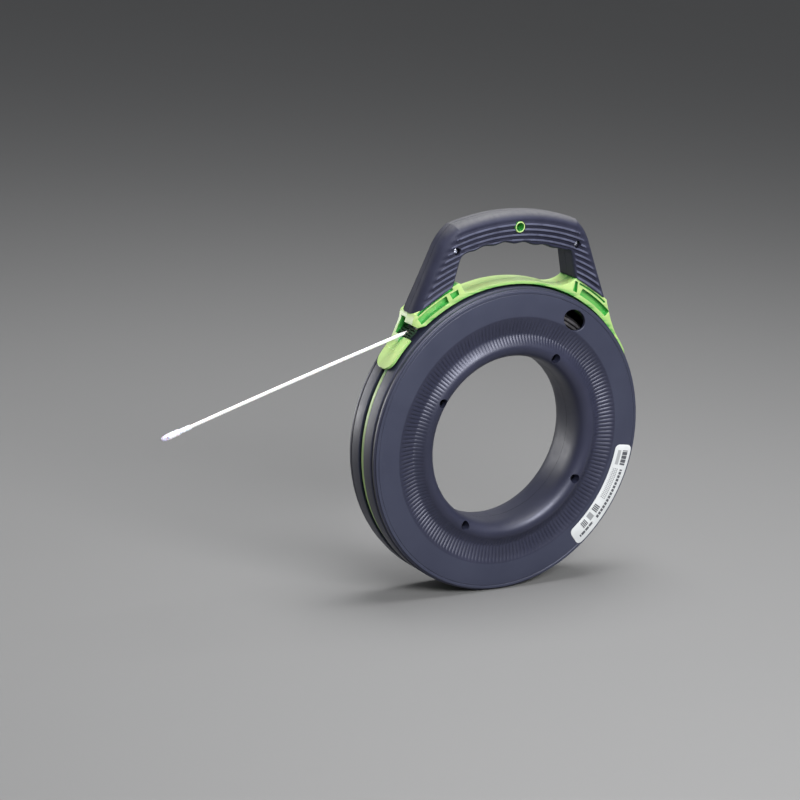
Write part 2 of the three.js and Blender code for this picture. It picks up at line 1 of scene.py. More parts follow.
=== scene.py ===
"""Looks of the fish tape reel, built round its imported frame.

Every shape is drawn in millimetres round the centre of the winder case: X to the right, Z up
through the handle and Y along the reel's axis, with the front face towards -Y. place() turns
it into metres and moves it to where the frame has the case's centre. Angles run from +X
towards +Z, in degrees.
"""

import json
import math
import random

import bmesh
import bpy
import numpy as np
from mathutils import Matrix, Vector
from mathutils.geometry import tessellate_polygon

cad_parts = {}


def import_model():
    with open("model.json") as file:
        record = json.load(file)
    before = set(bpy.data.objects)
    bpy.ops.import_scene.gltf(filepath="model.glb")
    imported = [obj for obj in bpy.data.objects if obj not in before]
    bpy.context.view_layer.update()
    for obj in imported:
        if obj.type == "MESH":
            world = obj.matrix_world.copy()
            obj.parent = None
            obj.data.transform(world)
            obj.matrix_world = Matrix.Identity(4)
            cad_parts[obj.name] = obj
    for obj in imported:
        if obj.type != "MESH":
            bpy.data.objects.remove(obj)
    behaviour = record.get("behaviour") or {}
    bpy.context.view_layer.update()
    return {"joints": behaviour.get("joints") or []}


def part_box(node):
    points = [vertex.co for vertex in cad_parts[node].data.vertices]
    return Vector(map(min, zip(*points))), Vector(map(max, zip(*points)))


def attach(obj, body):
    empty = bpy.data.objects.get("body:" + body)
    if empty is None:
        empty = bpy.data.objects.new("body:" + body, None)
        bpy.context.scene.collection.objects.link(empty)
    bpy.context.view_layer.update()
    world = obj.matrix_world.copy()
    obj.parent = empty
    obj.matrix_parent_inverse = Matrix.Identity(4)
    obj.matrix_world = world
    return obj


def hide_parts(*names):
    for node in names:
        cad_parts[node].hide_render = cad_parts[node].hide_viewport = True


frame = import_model()

# ------------------------------------------------------------------ sizes from the frame

MM = 0.001
Y_AXIS = np.array([0.0, 1.0, 0.0])
SPIN = next(j for j in frame["joints"] if j["name"] == "case_spin")
CENTRE = Vector(SPIN["pos_m"])


def local_box(node):
    """Lowest and highest corner of a CAD node, in millimetres round the case's centre."""
    low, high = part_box(node)
    return (low - CENTRE) / MM, (high - CENTRE) / MM


CASE_LOW, CASE_HIGH = local_box("case_rear_half")
CASE_R = CASE_HIGH.x
CREST_Y = CASE_HIGH.y
SPLIT = CASE_LOW.y               # how far the halves' joint faces lie from the middle plane
FRAME_Y = local_box("frame_rear_half")[1].y
GRIP_Y = local_box("grip_rear_half")[1].y
GRIP_TOP_R = local_box("grip_rear_half")[1].z
COIL_HALF = local_box("tape_coil")[1].y
RING_FLANGE_HALF = local_box("guide_ring")[1].y
EYELET_LOW, EYELET_HIGH = local_box("hang_eyelet")
EYELET_Z = (EYELET_LOW.z + EYELET_HIGH.z) / 2

# ------------------------------------------------------------------ sizes of the details

FACE_Y = 24.8                    # flat face of the case
SLOT_HALF = 4.5                  # half of the open slot round the rim
HUB_R = 83.5
HUB_WALL = 3.0
COVE_OUTER_R = 124.0             # ribbed cove, from the face down to its lowest circle
COVE_LOW_R = 107.0               # and up again to the crest round the hub
COVE_LOW_Y = 21.5
COVE_INNER_R = 98.6
COVE_INNER_Y = 25.9
RIBS = 180                       # fins round the cove
RIB_COLUMNS = 6                  # columns of the mesh to each of them
RIB_DEPTH = 0.8
SCREW_ANGLES = [60.5 + 90 * turn for turn in range(4)]
CASE_SCREW_R = 92.3
CASE_SCREW_SEAT = 15.0
SCREW_HOLE_R = 2.3
THREAD_PITCH = 1.3
BOSS_R = 5.6
BOSS_TOP = 23.0
PORT = {"r": 133.9, "angle": 60.8, "radial": 9.9, "tangential": 13.3}
LABEL = {"inner": 129.0, "outer": 148.4, "start": 308.3, "stop": 353.4, "corner": 6.0, "thick": 0.4}
CLIP_ANGLE = 105.0               # where the clip holds the tape's inner end to the hub
CLIP_Y = 9.0
COIL = {"first": 102.0, "layer": 3.7, "layers": 10, "across": 8}

RING = {"inner": 145.2, "flange": 148.2, "outer": 150.7, "web": 2.2}
BAND_IN = 154.7                  # handle saddle
BAND_OUT = 157.4
BAND_START = 26.5                # the saddle's right end
BAND_STOP = 150.0                # and its left end
MOUTH = {"start": 131.4, "stop": 136.8, "back": 10.0}
KEEL = {"inner": 151.2, "half": 1.6, "start": 33, "stop": 126}
FOOT_TOP_R = 171.6
LUG_ANGLES = (119, 61)           # lugs of the guide ring, screwed into the feet
FOOT_SCREW_R = 161.5
CORE_Y = 9.0
CORE_INSET = 6.2
GAP = 0.3

GRIP_BOTTOM_R = 171.9
LEG_OUTER = [(111.2, 131.0), (87.0, 190.6)]
LEG_INNER = [(69.6, 157.0), (64.0, 180.0)]
GRIP_SCREWS = [(-68.8, 190.0), (68.8, 190.0)]
GRIP_RIB_R = 177.6               # the grip's ribs are arcs round the reel's axis
GRIP_RIB_PITCH = 5.07
GRIP_RIB_DEPTH = 1.5

TAPE_R = 1.7
CHANNEL_R = TAPE_R + 1.2         # the tape's way through the frame and the nozzle's guide
SOCKET_R = TAPE_R + 0.04
TAPE_LINE_R = 139.5              # the tape leaves the coil as a tangent of this radius
TAPE_DROP = 18.0
TAPE_START = 34.0
TAPE_BOW = 1.2
FERRULE_START = 306.0
TIP_START = 318.0
TIP_END = 336.8
TIP_R = 3.0
FERRULE_R = 2.5

# ------------------------------------------------------------------ mesh helpers


def polar(r, degrees):
    return r * math.cos(math.radians(degrees)), r * math.sin(math.radians(degrees))


def smoothstep(low, high, x):
    t = np.clip((np.asarray(x, float) - low) / (high - low), 0, 1)
    return t * t * (3 - 2 * t)


def add_object(name, data):
    obj = bpy.data.objects.new(name, data)
    bpy.context.scene.collection.objects.link(obj)
    return obj


def place(name, points, faces, smooth=35):
    """A closed mesh from points in millimetres round the case's centre."""
    mesh = bpy.data.meshes.new(name)
    mesh.from_pydata((np.asarray(points, float) * MM).tolist(), [], faces)
    obj = add_object(name, mesh)
    obj.location = CENTRE
    return tidy(obj, smooth)


def tidy(obj, smooth=35):
    """Welds points, turns the faces outwards and shades it smooth between sharp edges."""
    mesh = obj.data
    bm = bmesh.new()
    bm.from_mesh(mesh)
    bmesh.ops.remove_doubles(bm, verts=bm.verts, dist=1e-6)
    bmesh.ops.recalc_face_normals(bm, faces=bm.faces)
    bm.to_mesh(mesh)
    bm.free()
    mesh.shade_smooth()
    mesh.set_sharp_from_angle(angle=math.radians(smooth))
    return obj


def bake(obj):
    """Applies an object's modifiers to its mesh."""
    bpy.context.view_layer.update()
    depsgraph = bpy.context.evaluated_depsgraph_get()
    mesh = bpy.data.meshes.new_from_object(obj.evaluated_get(depsgraph))
    obj.modifiers.clear()
    obj.data = mesh


def combine(obj, others, operation):
    """Changes obj by other closed meshes, which are used up."""
    for other in others:
        modifier = obj.modifiers.new("combine", "BOOLEAN")
        modifier.operation = operation
        modifier.solver = "EXACT"
        modifier.object = other
    bake(obj)
    for other in others:
        bpy.data.objects.remove(other)
    return obj


def join(obj, *others):
    return combine(obj, others, "UNION")


def cut(obj, *others):
    return combine(obj, others, "DIFFERENCE")


def soften(obj, width, limit=30):
    """Rounds the edges sharper than a limit in degrees, by a width in millimetres."""
    modifier = obj.modifiers.new("soften", "BEVEL")
    modifier.width = width * MM
    modifier.segments = 2
    modifier.limit_method = "ANGLE"
    modifier.angle_limit = math.radians(limit)
    bake(obj)
    return tidy(obj, 40)


def filleted(profile, steps):
    """A closed outline of (a, b, radius) corners with each corner rounded by its radius."""
    outline = []
    count = len(profile)
    for i, (a, b, radius) in enumerate(profile):
        here = Vector((a, b))
        before = Vector(profile[i - 1][:2]) - here
        after = Vector(profile[(i + 1) % count][:2]) - here
        if radius <= 0:
            outline.append((a, b))
            continue
        half = before.angle(after) / 2
        back = min(radius / math.tan(half), before.length * 0.49, after.length * 0.49)
        start = here + before.normalized() * back
        end = here + after.normalized() * back
        outline += curve_between(start, here, end, steps)
    return outline


def wall_faces(rings, sides, wrap=False):
    """Faces between neighbouring rings of points. With wrap the last ring joins the first."""
    faces = []
    for ring in range(rings if wrap else rings - 1):
        a, b = ring * sides, (ring + 1) % rings * sides
        for k in range(sides):
            n = (k + 1) % sides
            faces.append((a + k, a + n, b + n, b + k))
    return faces


def tube_faces(rings, sides):
    """Walls between rings of points, with a cap on the first ring and on the last."""
    last = (rings - 1) * sides
    return wall_faces(rings, sides) + [tuple(range(sides)), tuple(range(last, last + sides))]


def tube(name, line, across, up, radii, sides, smooth):
    """A round body along a line of points, closed at both ends. Each section lies in the plane
    of across and up."""
    points = []
    for k in range(sides):
        c, s = polar(1, 360 * k / sides)
        points.append(line + radii * (across * c + up * s))
    return place(name, np.stack(points, 1).reshape(-1, 3), tube_faces(len(line), sides), smooth)


def lathe(name, profile, steps, smooth=35, shift=None):
    """A ring round Y from a closed outline of (radius, y). shift(column) may give how far
    the points of a column move along Y."""
    rows = np.array(profile, float)
    points = []
    for column in range(steps):
        y = rows[:, 1] if shift is None else rows[:, 1] + shift(column)
        c, s = polar(1, 360 * column / steps)
        points.append(np.stack([rows[:, 0] * c, y, rows[:, 0] * s], 1))
    return place(name, np.concatenate(points), wall_faces(steps, len(rows), wrap=True), smooth)


def turned(name, profile, along=(0, 1, 0), base=(0, 0, 0), steps=32, smooth=35):
    """A body turned round a line through base, from an open outline of (radius, distance)
    that starts and ends on the line."""
    axis = Vector(along).normalized()
    side = axis.orthogonal().normalized()
    other = axis.cross(side)
    base = Vector(base)
    points = [base + axis * profile[0][1]]
    for r, t in profile[1:-1]:
        for k in range(steps):
            a = 2 * math.pi * k / steps
            points.append(base + axis * t + (side * math.cos(a) + other * math.sin(a)) * r)
    points.append(base + axis * profile[-1][1])
    last = len(points) - 1
    faces = []
    for k in range(steps):
        n = (k + 1) % steps
        faces.append((0, 1 + k, 1 + n))
        for row in range(len(profile) - 3):
            a, b = 1 + row * steps, 1 + (row + 1) * steps
            faces.append((a + k, b + k, b + n, a + n))
        end = 1 + (len(profile) - 3) * steps
        faces.append((end + k, last, end + n))
    return place(name, points, faces, smooth)


def arc(r, start, stop, step=1.0):
    """Points on a circle from one angle to another, both included."""
    count = max(2, int(abs(stop - start) / step) + 1)
    return [polar(r, angle) for angle in np.linspace(start, stop, count)]


def curve_between(start, corner, stop, steps):
    """Points on the curve from start to stop that bends towards corner, ends included."""
    a, b, c = Vector(start), Vector(corner), Vector(stop)
    shares = [k / steps for k in range(steps + 1)]
    return [tuple(a * (1 - t) ** 2 + b * 2 * t * (1 - t) + c * t * t) for t in shares]


def bend(start, corner, stop, steps):
    """The same curve between points given as (radius, angle)."""
    return curve_between(polar(*start), polar(*corner), polar(*stop), steps)


def relief(name, outline, near, far, pockets=()):
    """A plate in the XZ plane from y = near to y = far. Each pocket is (outline, depth), sunk
    in the far face."""
    points, faces = [], []
    down = 1 if near > far else -1

    def ring(loop, y):
        first = len(points)
        points.extend((x, y, z) for x, z in loop)
        return list(range(first, first + len(loop)))

    def wall(a, b):
        faces.extend(zip(a, a[1:] + a[:1], b[1:] + b[:1], b))

    def cap(rings):
        flat = [index for one in rings for index in one]
        loops = [[Vector((points[i][0], points[i][2], 0)) for i in one] for one in rings]
        for triangle in tessellate_polygon(loops):
            faces.append(tuple(flat[k] for k in triangle))

    near_ring, far_ring = ring(outline, near), ring(outline, far)
    wall(near_ring, far_ring)
    far_rings = [far_ring]
    for loop, depth in pockets:
        top, floor = ring(loop, far), ring(loop, far + down * depth)
        wall(top, floor)
        cap([floor])
        far_rings.append(top)
    cap([near_ring])
    cap(far_rings)
    return place(name, points, faces)


def rod(name, x, z, r, y0, y1, steps=32):
    """A plain cutter along Y."""
    return turned(name, [(0, y0), (r, y0), (r, y1), (0, y1)], base=(x, 0, z), steps=steps)


def turned_by(points, degrees):
    """Points of the XZ plane turned about the reel's axis."""
    c, s = polar(1, degrees)
    return [(x * c - z * s, x * s + z * c) for x, z in points]


def block(name, low, high, turn):
    """A plain cutter box from one corner to the other, turned about the reel's axis."""
    corners = [(low[0], low[2]), (high[0], low[2]), (high[0], high[2]), (low[0], high[2])]
    return relief(name, turned_by(corners, turn), low[1], high[1])


def sector(r0, r1, start, stop, round_by=0.0, step=1.0):
    """Outline of a piece of ring. With round_by its four corners are rounded off."""
    if round_by <= 0:
        return arc(r1, start, stop, step) + arc(r0, stop, start, step)
    outer, inner = math.degrees(round_by / r1), math.degrees(round_by / r0)
    sign = 1 if stop > start else -1
    top = arc(r1, start + sign * outer, stop - sign * outer, step)
    low = arc(r0, stop - sign * inner, start + sign * inner, step)
    steps = 3 if round_by < 3 else 8
    last = curve_between(top[-1], polar(r1, stop), polar(r1 - round_by, stop), steps)
    back = curve_between(polar(r0 + round_by, stop), polar(r0, stop), low[0], steps)
    rise = curve_between(low[-1], polar(r0, start), polar(r0 + round_by, start), steps)
    first = curve_between(polar(r1 - round_by, start), polar(r1, start), top[0], steps)
    return top + last[1:] + back[:-1] + low + rise[1:] + first[:-1]


def belongs(obj, body, material, node):
    """Puts a finished piece on its body, in its material, in place of a CAD node."""
    obj.data.materials.clear()
    obj.data.materials.append(material)
    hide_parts(node)
    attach(obj, body)


# The tape's straight end leaves the coil at TAPE_TOUCH and runs along TAPE_ALONG.
TAPE_ALONG = (-math.cos(math.radians(TAPE_DROP)), 0, -math.sin(math.radians(TAPE_DROP)))
TAPE_TOUCH = (polar(TAPE_LINE_R, 90 + TAPE_DROP)[0], 0, polar(TAPE_LINE_R, 90 + TAPE_DROP)[1])

# ------------------------------------------------------------------ materials


class Nodes:
    """A material's node tree, with short calls for the nodes that the finishes share."""

    def __init__(self, name):
        self.material = bpy.data.materials.new(name)
        self.material.use_nodes = True
        self.tree = self.material.node_tree
        self.shader = self.tree.nodes["Principled BSDF"]
        self.place = self.add("TexCoord")["Object"]

    def feed(self, node, inputs):
        """Links each input to an output, or sets its value."""
        for key, value in inputs.items():
            if isinstance(value, bpy.types.NodeSocket):
                self.tree.links.new(value, node.inputs[key])
            else:
                node.inputs[key].default_value = value

    def add(self, kind, inputs=None, **settings):
        """A new node's outputs."""
        node = self.tree.nodes.new("ShaderNode" + kind)
        for key, value in settings.items():
            setattr(node, key, value)
        self.feed(node, inputs or {})
        return node.outputs

    def maths(self, operation, first, second=0.0):
        return self.add("Math", {0: first, 1: second}, operation=operation)[0]

    def times(self, first, *others):
        for other in others:
            first = self.maths("MULTIPLY", first, other)
        return first

    def plus(self, first, second):
        return self.maths("ADD", first, second)

    def stretch(self, scale):
        return self.add("Mapping", {"Vector": self.place, "Scale": scale})[0]

    def axes(self):
        """Object x, y and z in millimetres round the case's centre."""
        split = self.add("SeparateXYZ", {0: self.place})
        return [self.maths("DIVIDE", split[k], MM) for k in range(3)]

    def radius(self):
        """Distance from the reel's axis in millimetres."""
        x, _, z = self.axes()
        return self.maths("SQRT", self.plus(self.times(x, x), self.times(z, z)))

    def upward(self):
        """1 where the surface faces straight up, 0 where it stands upright."""
        normal = self.add("NewGeometry")["Normal"]
        return self.add("SeparateXYZ", {0: normal})["Z"]

    def noise(self, scale, detail=4.0, rough=0.55, where=None):
        inputs = {"Vector": where or self.place, "Scale": scale, "Detail": detail, "Roughness": rough}
        return self.add("TexNoise", inputs)["Fac"]

    def cells(self, scale):
        return self.add("TexVoronoi", {"Vector": self.place, "Scale": scale})["Distance"]

    def remap(self, value, low, high, to_low=0.0, to_high=1.0):
        inputs = {"Value": value, "From Min": low, "From Max": high, "To Min": to_low, "To Max": to_high}
        return self.add("MapRange", inputs, interpolation_type="SMOOTHSTEP")[0]

    def mix(self, share, first, second):
        """A colour between two. The node keeps its colour sockets in places 6, 7 and 2."""
        return self.add("Mix", {0: share, 6: first, 7: second}, data_type="RGBA")[2]

    def bump(self, height, distance, strength):
        return self.add("Bump", {"Height": height, "Distance": distance * MM, "Strength": strength})[0]

    def edges(self, radius):
        """1 on edges that turn within a radius in millimetres, 0 on flat faces."""
        bevel = self.add("Bevel", {"Radius": radius * MM}, samples=4)[0]
        normal = self.add("NewGeometry")["Normal"]
        product = self.add("VectorMath", {0: bevel, 1: normal}, operation="DOT_PRODUCT")
        return self.remap(product["Value"], 0.995, 0.90)

    def hollow_shade(self, distance, closed=0.35, clear=0.92):
        """Ambient occlusion as a mask for painted shade: 0 deep in a hollow as wide as a distance in
        millimetres, 1 in the open.
        """
        shade = self.add("AmbientOcclusion", {"Distance": distance * MM}, samples=8)["AO"]
        return self.remap(shade, closed, clear)

    def finish(self, colour, roughness, normal, **settings):
        inputs = {"Base Color": colour, "Roughness": roughness, "Normal": normal}
        inputs.update({key.replace("_", " "): value for key, value in settings.items()})
        self.feed(self.shader, inputs)
        return self.material


def rgb(red, green, blue):
    return (red, green, blue, 1.0)


def moulded(name, dark, light, worn, deep, roughness, grain=0.035, wear=0.35, subsurface=0.0, reach=5.0):
    """Injection-moulded polymer: clouded colour, a fine spark-eroded grain, rubbed edges and
    painted shade in its hollows."""
    n = Nodes(name)
    clouds = n.noise(14, 3)
    fleck = n.noise(420, 2)
    rubbed = n.times(n.edges(0.7), n.remap(n.noise(60, 5), 0.38, 0.68))
    colour = n.mix(n.remap(clouds, 0.3, 0.7), dark, light)
    colour = n.mix(n.times(rubbed, wear), colour, worn)
    # Painted shade: the hollows take the deep colour, as far as the reach in millimetres.
    colour = n.mix(n.hollow_shade(reach, 0.45, 0.92), deep, colour)
    smears = n.remap(n.noise(38, 5, 0.65, n.stretch((1, 1, 2.2))), 0.35, 0.7, -0.05, 0.07)
    rough = n.plus(smears, roughness)
    fine = n.plus(fleck, n.times(n.cells(900), 0.7))
    normal = n.bump(fine, grain, 0.5)
    return n.finish(colour, rough, normal, Subsurface_Weight=subsurface, Subsurface_Scale=0.002)


def case_polymer():
    """Satin navy polymer. The flat faces of the case are textured, so they look paler and
    duller than its rim, cove and hub."""
    n = Nodes("case_polymer")
    _, y, _ = n.axes()
    on_face = n.remap(n.maths("ABSOLUTE", y), FACE_Y - 0.5, FACE_Y - 0.2)
    face = n.times(on_face, n.remap(n.radius(), COVE_OUTER_R, COVE_OUTER_R + 1.5))
    clouds = n.remap(n.noise(14, 3), 0.3, 0.7)
    plain = n.mix(clouds, rgb(0.017, 0.019, 0.040), rgb(0.024, 0.026, 0.052))
    textured = n.mix(clouds, rgb(0.030, 0.034, 0.062), rgb(0.038, 0.043, 0.074))
    colour = n.mix(face, plain, textured)
    rubbed = n.times(n.edges(0.7), n.remap(n.noise(60, 5), 0.35, 0.65))
    colour = n.mix(n.times(rubbed, 0.35), colour, rgb(0.10, 0.11, 0.16))
    scuffs = n.remap(n.noise(110, 7, 0.75, n.stretch((1, 1, 3))), 0.60, 0.74, 0.0, 0.22)
    colour = n.mix(scuffs, colour, rgb(0.09, 0.10, 0.13))
    # Painted shade: near black deep in the grooves between the fins.
    colour = n.mix(n.hollow_shade(3), rgb(0.003, 0.003, 0.006), colour)
    smears = n.remap(n.noise(38, 5, 0.65), 0.35, 0.7, -0.04, 0.06)
    rough = n.plus(smears, n.remap(face, 0.0, 1.0, 0.45, 0.48))
    grain = n.plus(n.noise(420, 2), n.times(n.cells(700), 0.9))
    grain = n.times(grain, n.remap(face, 0.0, 1.0, 0.25, 1.0))
    return n.finish(colour, rough, n.bump(grain, 0.07, 0.6), Specular_IOR_Level=0.5)


def grip_rubber():
    """Soft navy rubber. The tops of the ribs on its face are paler in patches, and the upward
    faces near the top of the bar carry a painted pale grey sheen."""
    n = Nodes("grip_rubber")
    radius = n.radius()
    _, y, _ = n.axes()
    clouds = n.remap(n.noise(22, 4), 0.3, 0.7)
    colour = n.mix(clouds, rgb(0.021, 0.022, 0.041), rgb(0.031, 0.033, 0.057))
    along = n.maths("SUBTRACT", radius, GRIP_RIB_R - 2.5 * GRIP_RIB_PITCH)
    phase = n.maths("FRACT", n.maths("DIVIDE", along, GRIP_RIB_PITCH))
    rib = n.remap(n.maths("ABSOLUTE", n.maths("SUBTRACT", phase, 0.5)), 0.25, 0.15)
    on_face = n.remap(n.maths("ABSOLUTE", y), GRIP_Y - 0.6, GRIP_Y - 0.1)
    # The rib tops on the face are mixed paler, in patches.
    rib_patches = n.remap(n.noise(90, 5), 0.25, 0.6, 0.45, 1.0)
    rubbed = n.times(rib, on_face, rib_patches)
    colour = n.mix(rubbed, colour, rgb(0.105, 0.112, 0.170))
    # Painted sheen: the upward faces near the top of the bar are mixed to pale grey.
    back = n.times(n.remap(n.upward(), 0.45, 0.95), n.remap(radius, 206.0, 220.0))
    painted_sheen = n.times(back, n.remap(n.noise(240, 6, 0.7), 0.3, 0.6, 0.75, 1.0))
    colour = n.mix(painted_sheen, colour, rgb(0.105, 0.105, 0.112))
    dust = n.remap(n.noise(300, 6, 0.7), 0.56, 0.72, 0.0, 0.2)
    colour = n.mix(dust, colour, rgb(0.07, 0.07, 0.085))
    rough = n.remap(n.noise(45, 5), 0.3, 0.7, 0.46, 0.62)
    pores = n.plus(n.cells(1100), n.times(n.noise(650, 2), 0.8))
    normal = n.bump(pores, 0.07, 0.7)
    # Painted shade: near black deep in the grooves between the ribs.
    colour = n.mix(n.hollow_shade(3.5, 0.40, 0.95), rgb(0.008, 0.008, 0.015), colour)
    return n.finish(colour, rough, normal, Specular_IOR_Level=0.12)


def tape_sheath():
    """White sheath over glass fibre: lengthwise drawing marks and faint handling dirt."""
    n = Nodes("tape_sheath")
    marks = n.noise(90, 4, 0.6, n.stretch((1.0, 9.0, 6.0)))
    dirt = n.remap(n.noise(55, 6, 0.7), 0.55, 0.8, 0.0, 0.3)
    colour = n.mix(n.remap(marks, 0.3, 0.7), rgb(0.80, 0.80, 0.77), rgb(0.93, 0.93, 0.91))
    colour = n.mix(dirt, colour, rgb(0.5, 0.48, 0.42))
    normal = n.bump(marks, 0.04, 0.4)
    rough = n.remap(marks, 0.3, 0.7, 0.28, 0.42)
    return n.finish(colour, rough, normal, Subsurface_Weight=0.08, Subsurface_Scale=0.001)


def shaded_coil_sheath():
    """The wound turns of the white tape, painted dark grey as shade inside the case, with random blotches.
    """
    n = Nodes("shaded_coil_sheath")
    marks = n.noise(140, 5, 0.6)
    dirt = n.remap(n.noise(35, 5, 0.7), 0.35, 0.7)
    # The white tape is painted dark grey here as shade inside the case.
    paler_shade_tone, darker_shade_tone = rgb(0.11, 0.105, 0.11), rgb(0.035, 0.035, 0.038)
    colour = n.mix(dirt, n.mix(marks, paler_shade_tone, rgb(0.16, 0.15, 0.16)), darker_shade_tone)
    # Painted shade: near black between the turns.
    colour = n.mix(n.hollow_shade(2), rgb(0.004, 0.004, 0.005), colour)
    return n.finish(colour, n.remap(marks, 0.3, 0.7, 0.25, 0.4), n.bump(marks, 0.05, 0.5))


def tip_nylon():
    """Milky nylon that turns lavender towards the eye of the tip."""
    n = Nodes("tip_nylon")
    nose = TAPE_TOUCH[0] + TIP_END * TAPE_ALONG[0]
    near_eye = n.remap(n.axes()[0], nose + 11, nose + 2)
    colour = n.mix(n.remap(n.noise(160, 4), 0.3, 0.7), rgb(0.82, 0.82, 0.88), rgb(0.92, 0.92, 0.96))
    colour = n.mix(n.times(near_eye, 0.6), colour, rgb(0.50, 0.46, 0.74))
    scuff = n.noise(420, 5, 0.7)
    normal = n.bump(scuff, 0.05, 0.4)
    rough = n.remap(scuff, 0.35, 0.65, 0.22, 0.4)
    return n.finish(colour, rough, normal, Subsurface_Weight=0.15, Subsurface_Scale=0.002)


def metal(name, dark, light, roughness, strokes=(1, 1, 1)):
    """Plated steel with fine brushing, dulled in patches."""
    n = Nodes(name)
    brushing = n.noise(700, 4, 0.7, n.stretch(strokes))
    patches = n.remap(n.noise(160, 5), 0.35, 0.7)
    colour = n.mix(patches, dark, light)
    rough = n.plus(n.remap(brushing, 0.3, 0.7, -0.08, 0.1), roughness)
    normal = n.bump(brushing, 0.02, 0.5)
    return n.finish(colour, rough, normal, Metallic=1.0)


def label_film():
    """White film with plain printed bars: dashed lines near the rim, and pale rows, blocks
    and a pale bar nearer the hub."""
    n = Nodes("label_film")
    x, _, z = n.axes()
    radius = n.radius()
    angle = n.times(n.maths("ARCTAN2", z, x), -180 / math.pi)

    def between(value, low, high, blur):
        rise = n.remap(value, low - blur, low + blur)
        fall = n.remap(value, high + blur, high - blur)
        return n.times(rise, fall)

    def bar(r0, r1, a0, a1):
        """A printed bar between two radii and two angles below +X."""
        return n.times(between(radius, r0, r1, 0.12), between(angle, a0, a1, 0.06))

    def dashes(pitch, share):
        wave = n.maths("FRACT", n.maths("DIVIDE", angle, pitch))
        return n.remap(wave, share + 0.02, share - 0.02)

    rows = n.remap(n.maths("FRACT", n.maths("DIVIDE", radius, 2.15)), 0.60, 0.56)
    prints = [
        n.times(bar(141.5, 144.6, 17.0, 39.0), dashes(1.5, 0.76)),
        n.times(bar(141.0, 143.6, 41.0, 49.0), dashes(2.3, 0.86)),
        n.times(bar(132.0, 139.4, 17.0, 31.0), dashes(0.74, 0.6), rows, 0.85),
        n.times(bar(131.6, 139.4, 34.2, 37.4), dashes(0.8, 0.72)),
        n.times(bar(131.6, 139.4, 38.8, 41.4), 0.65),
        n.times(bar(131.8, 139.2, 42.8, 45.8), dashes(0.75, 0.7)),
        n.times(bar(139.0, 145.0, 9.0, 15.2), dashes(1.6, 0.86)),
        n.times(bar(133.0, 137.0, 9.0, 15.4), 0.5),
    ]
    ink = prints[0]
    for mark in prints[1:]:
        ink = n.maths("MAXIMUM", ink, mark)
    film = n.mix(n.remap(n.noise(70, 5), 0.3, 0.7), rgb(0.63, 0.65, 0.66), rgb(0.69, 0.71, 0.72))
    scuff = n.remap(n.noise(260, 6, 0.75), 0.62, 0.78, 0.0, 0.35)
    colour = n.mix(scuff, film, rgb(0.55, 0.56, 0.58))
    colour = n.mix(n.times(ink, 0.92), colour, rgb(0.03, 0.033, 0.045))
    rough = n.remap(n.noise(120, 5), 0.3, 0.7, 0.3, 0.45)
    return n.finish(colour, rough, n.bump(n.noise(500, 3), 0.03, 0.4))


def studio_floor():
    n = Nodes("studio_floor")
    colour = n.mix(n.noise(0.9, 2), rgb(0.198, 0.198, 0.198), rgb(0.206, 0.206, 0.206))
    return n.finish(colour, 0.9, n.bump(n.noise(40, 3), 0.02, 0.1), Specular_IOR_Level=0.1)


CASE_POLYMER = case_polymer()
# The fourth colour of each polymer is painted shade for its hollows.
FRAME_POLYMER = moulded(
    "frame_polymer", rgb(0.41, 0.60, 0.20), rgb(0.49, 0.67, 0.25), rgb(0.70, 0.84, 0.52),
    rgb(0.05, 0.38, 0.06), 0.36, grain=0.03, wear=0.55, subsurface=0.04, reach=13.0,
)
GUIDE_POLYMER = moulded(
    "guide_polymer", rgb(0.008, 0.022, 0.010), rgb(0.014, 0.045, 0.018), rgb(0.06, 0.15, 0.06),
    rgb(0.002, 0.005, 0.002), 0.42,
)
GRIP_RUBBER = grip_rubber()
TAPE_SHEATH = tape_sheath()
SHADED_COIL_SHEATH = shaded_coil_sheath()
TIP_NYLON = tip_nylon()
SCREW_STEEL = metal("screw_steel", rgb(0.50, 0.51, 0.54), rgb(0.74, 0.75, 0.77), 0.26)
CLIP_STEEL = metal("clip_steel", rgb(0.36, 0.37, 0.40), rgb(0.58, 0.59, 0.61), 0.34, (1, 12, 1))
LABEL_FILM = label_film()

# ------------------------------------------------------------------ winder case


def cove_height(r):
    """How far the ribbed cove's surface lies from the middle plane at a radius."""
    if r >= COVE_LOW_R:
        t = (r - COVE_LOW_R) / (COVE_OUTER_R - COVE_LOW_R)
        return COVE_LOW_Y + (FACE_Y - COVE_LOW_Y) * min(t, 1) ** 1.25
    t = (COVE_LOW_R - r) / (COVE_LOW_R - COVE_INNER_R)
    return COVE_LOW_Y + (COVE_INNER_Y - COVE_LOW_Y) * min(t, 1) ** 1.35


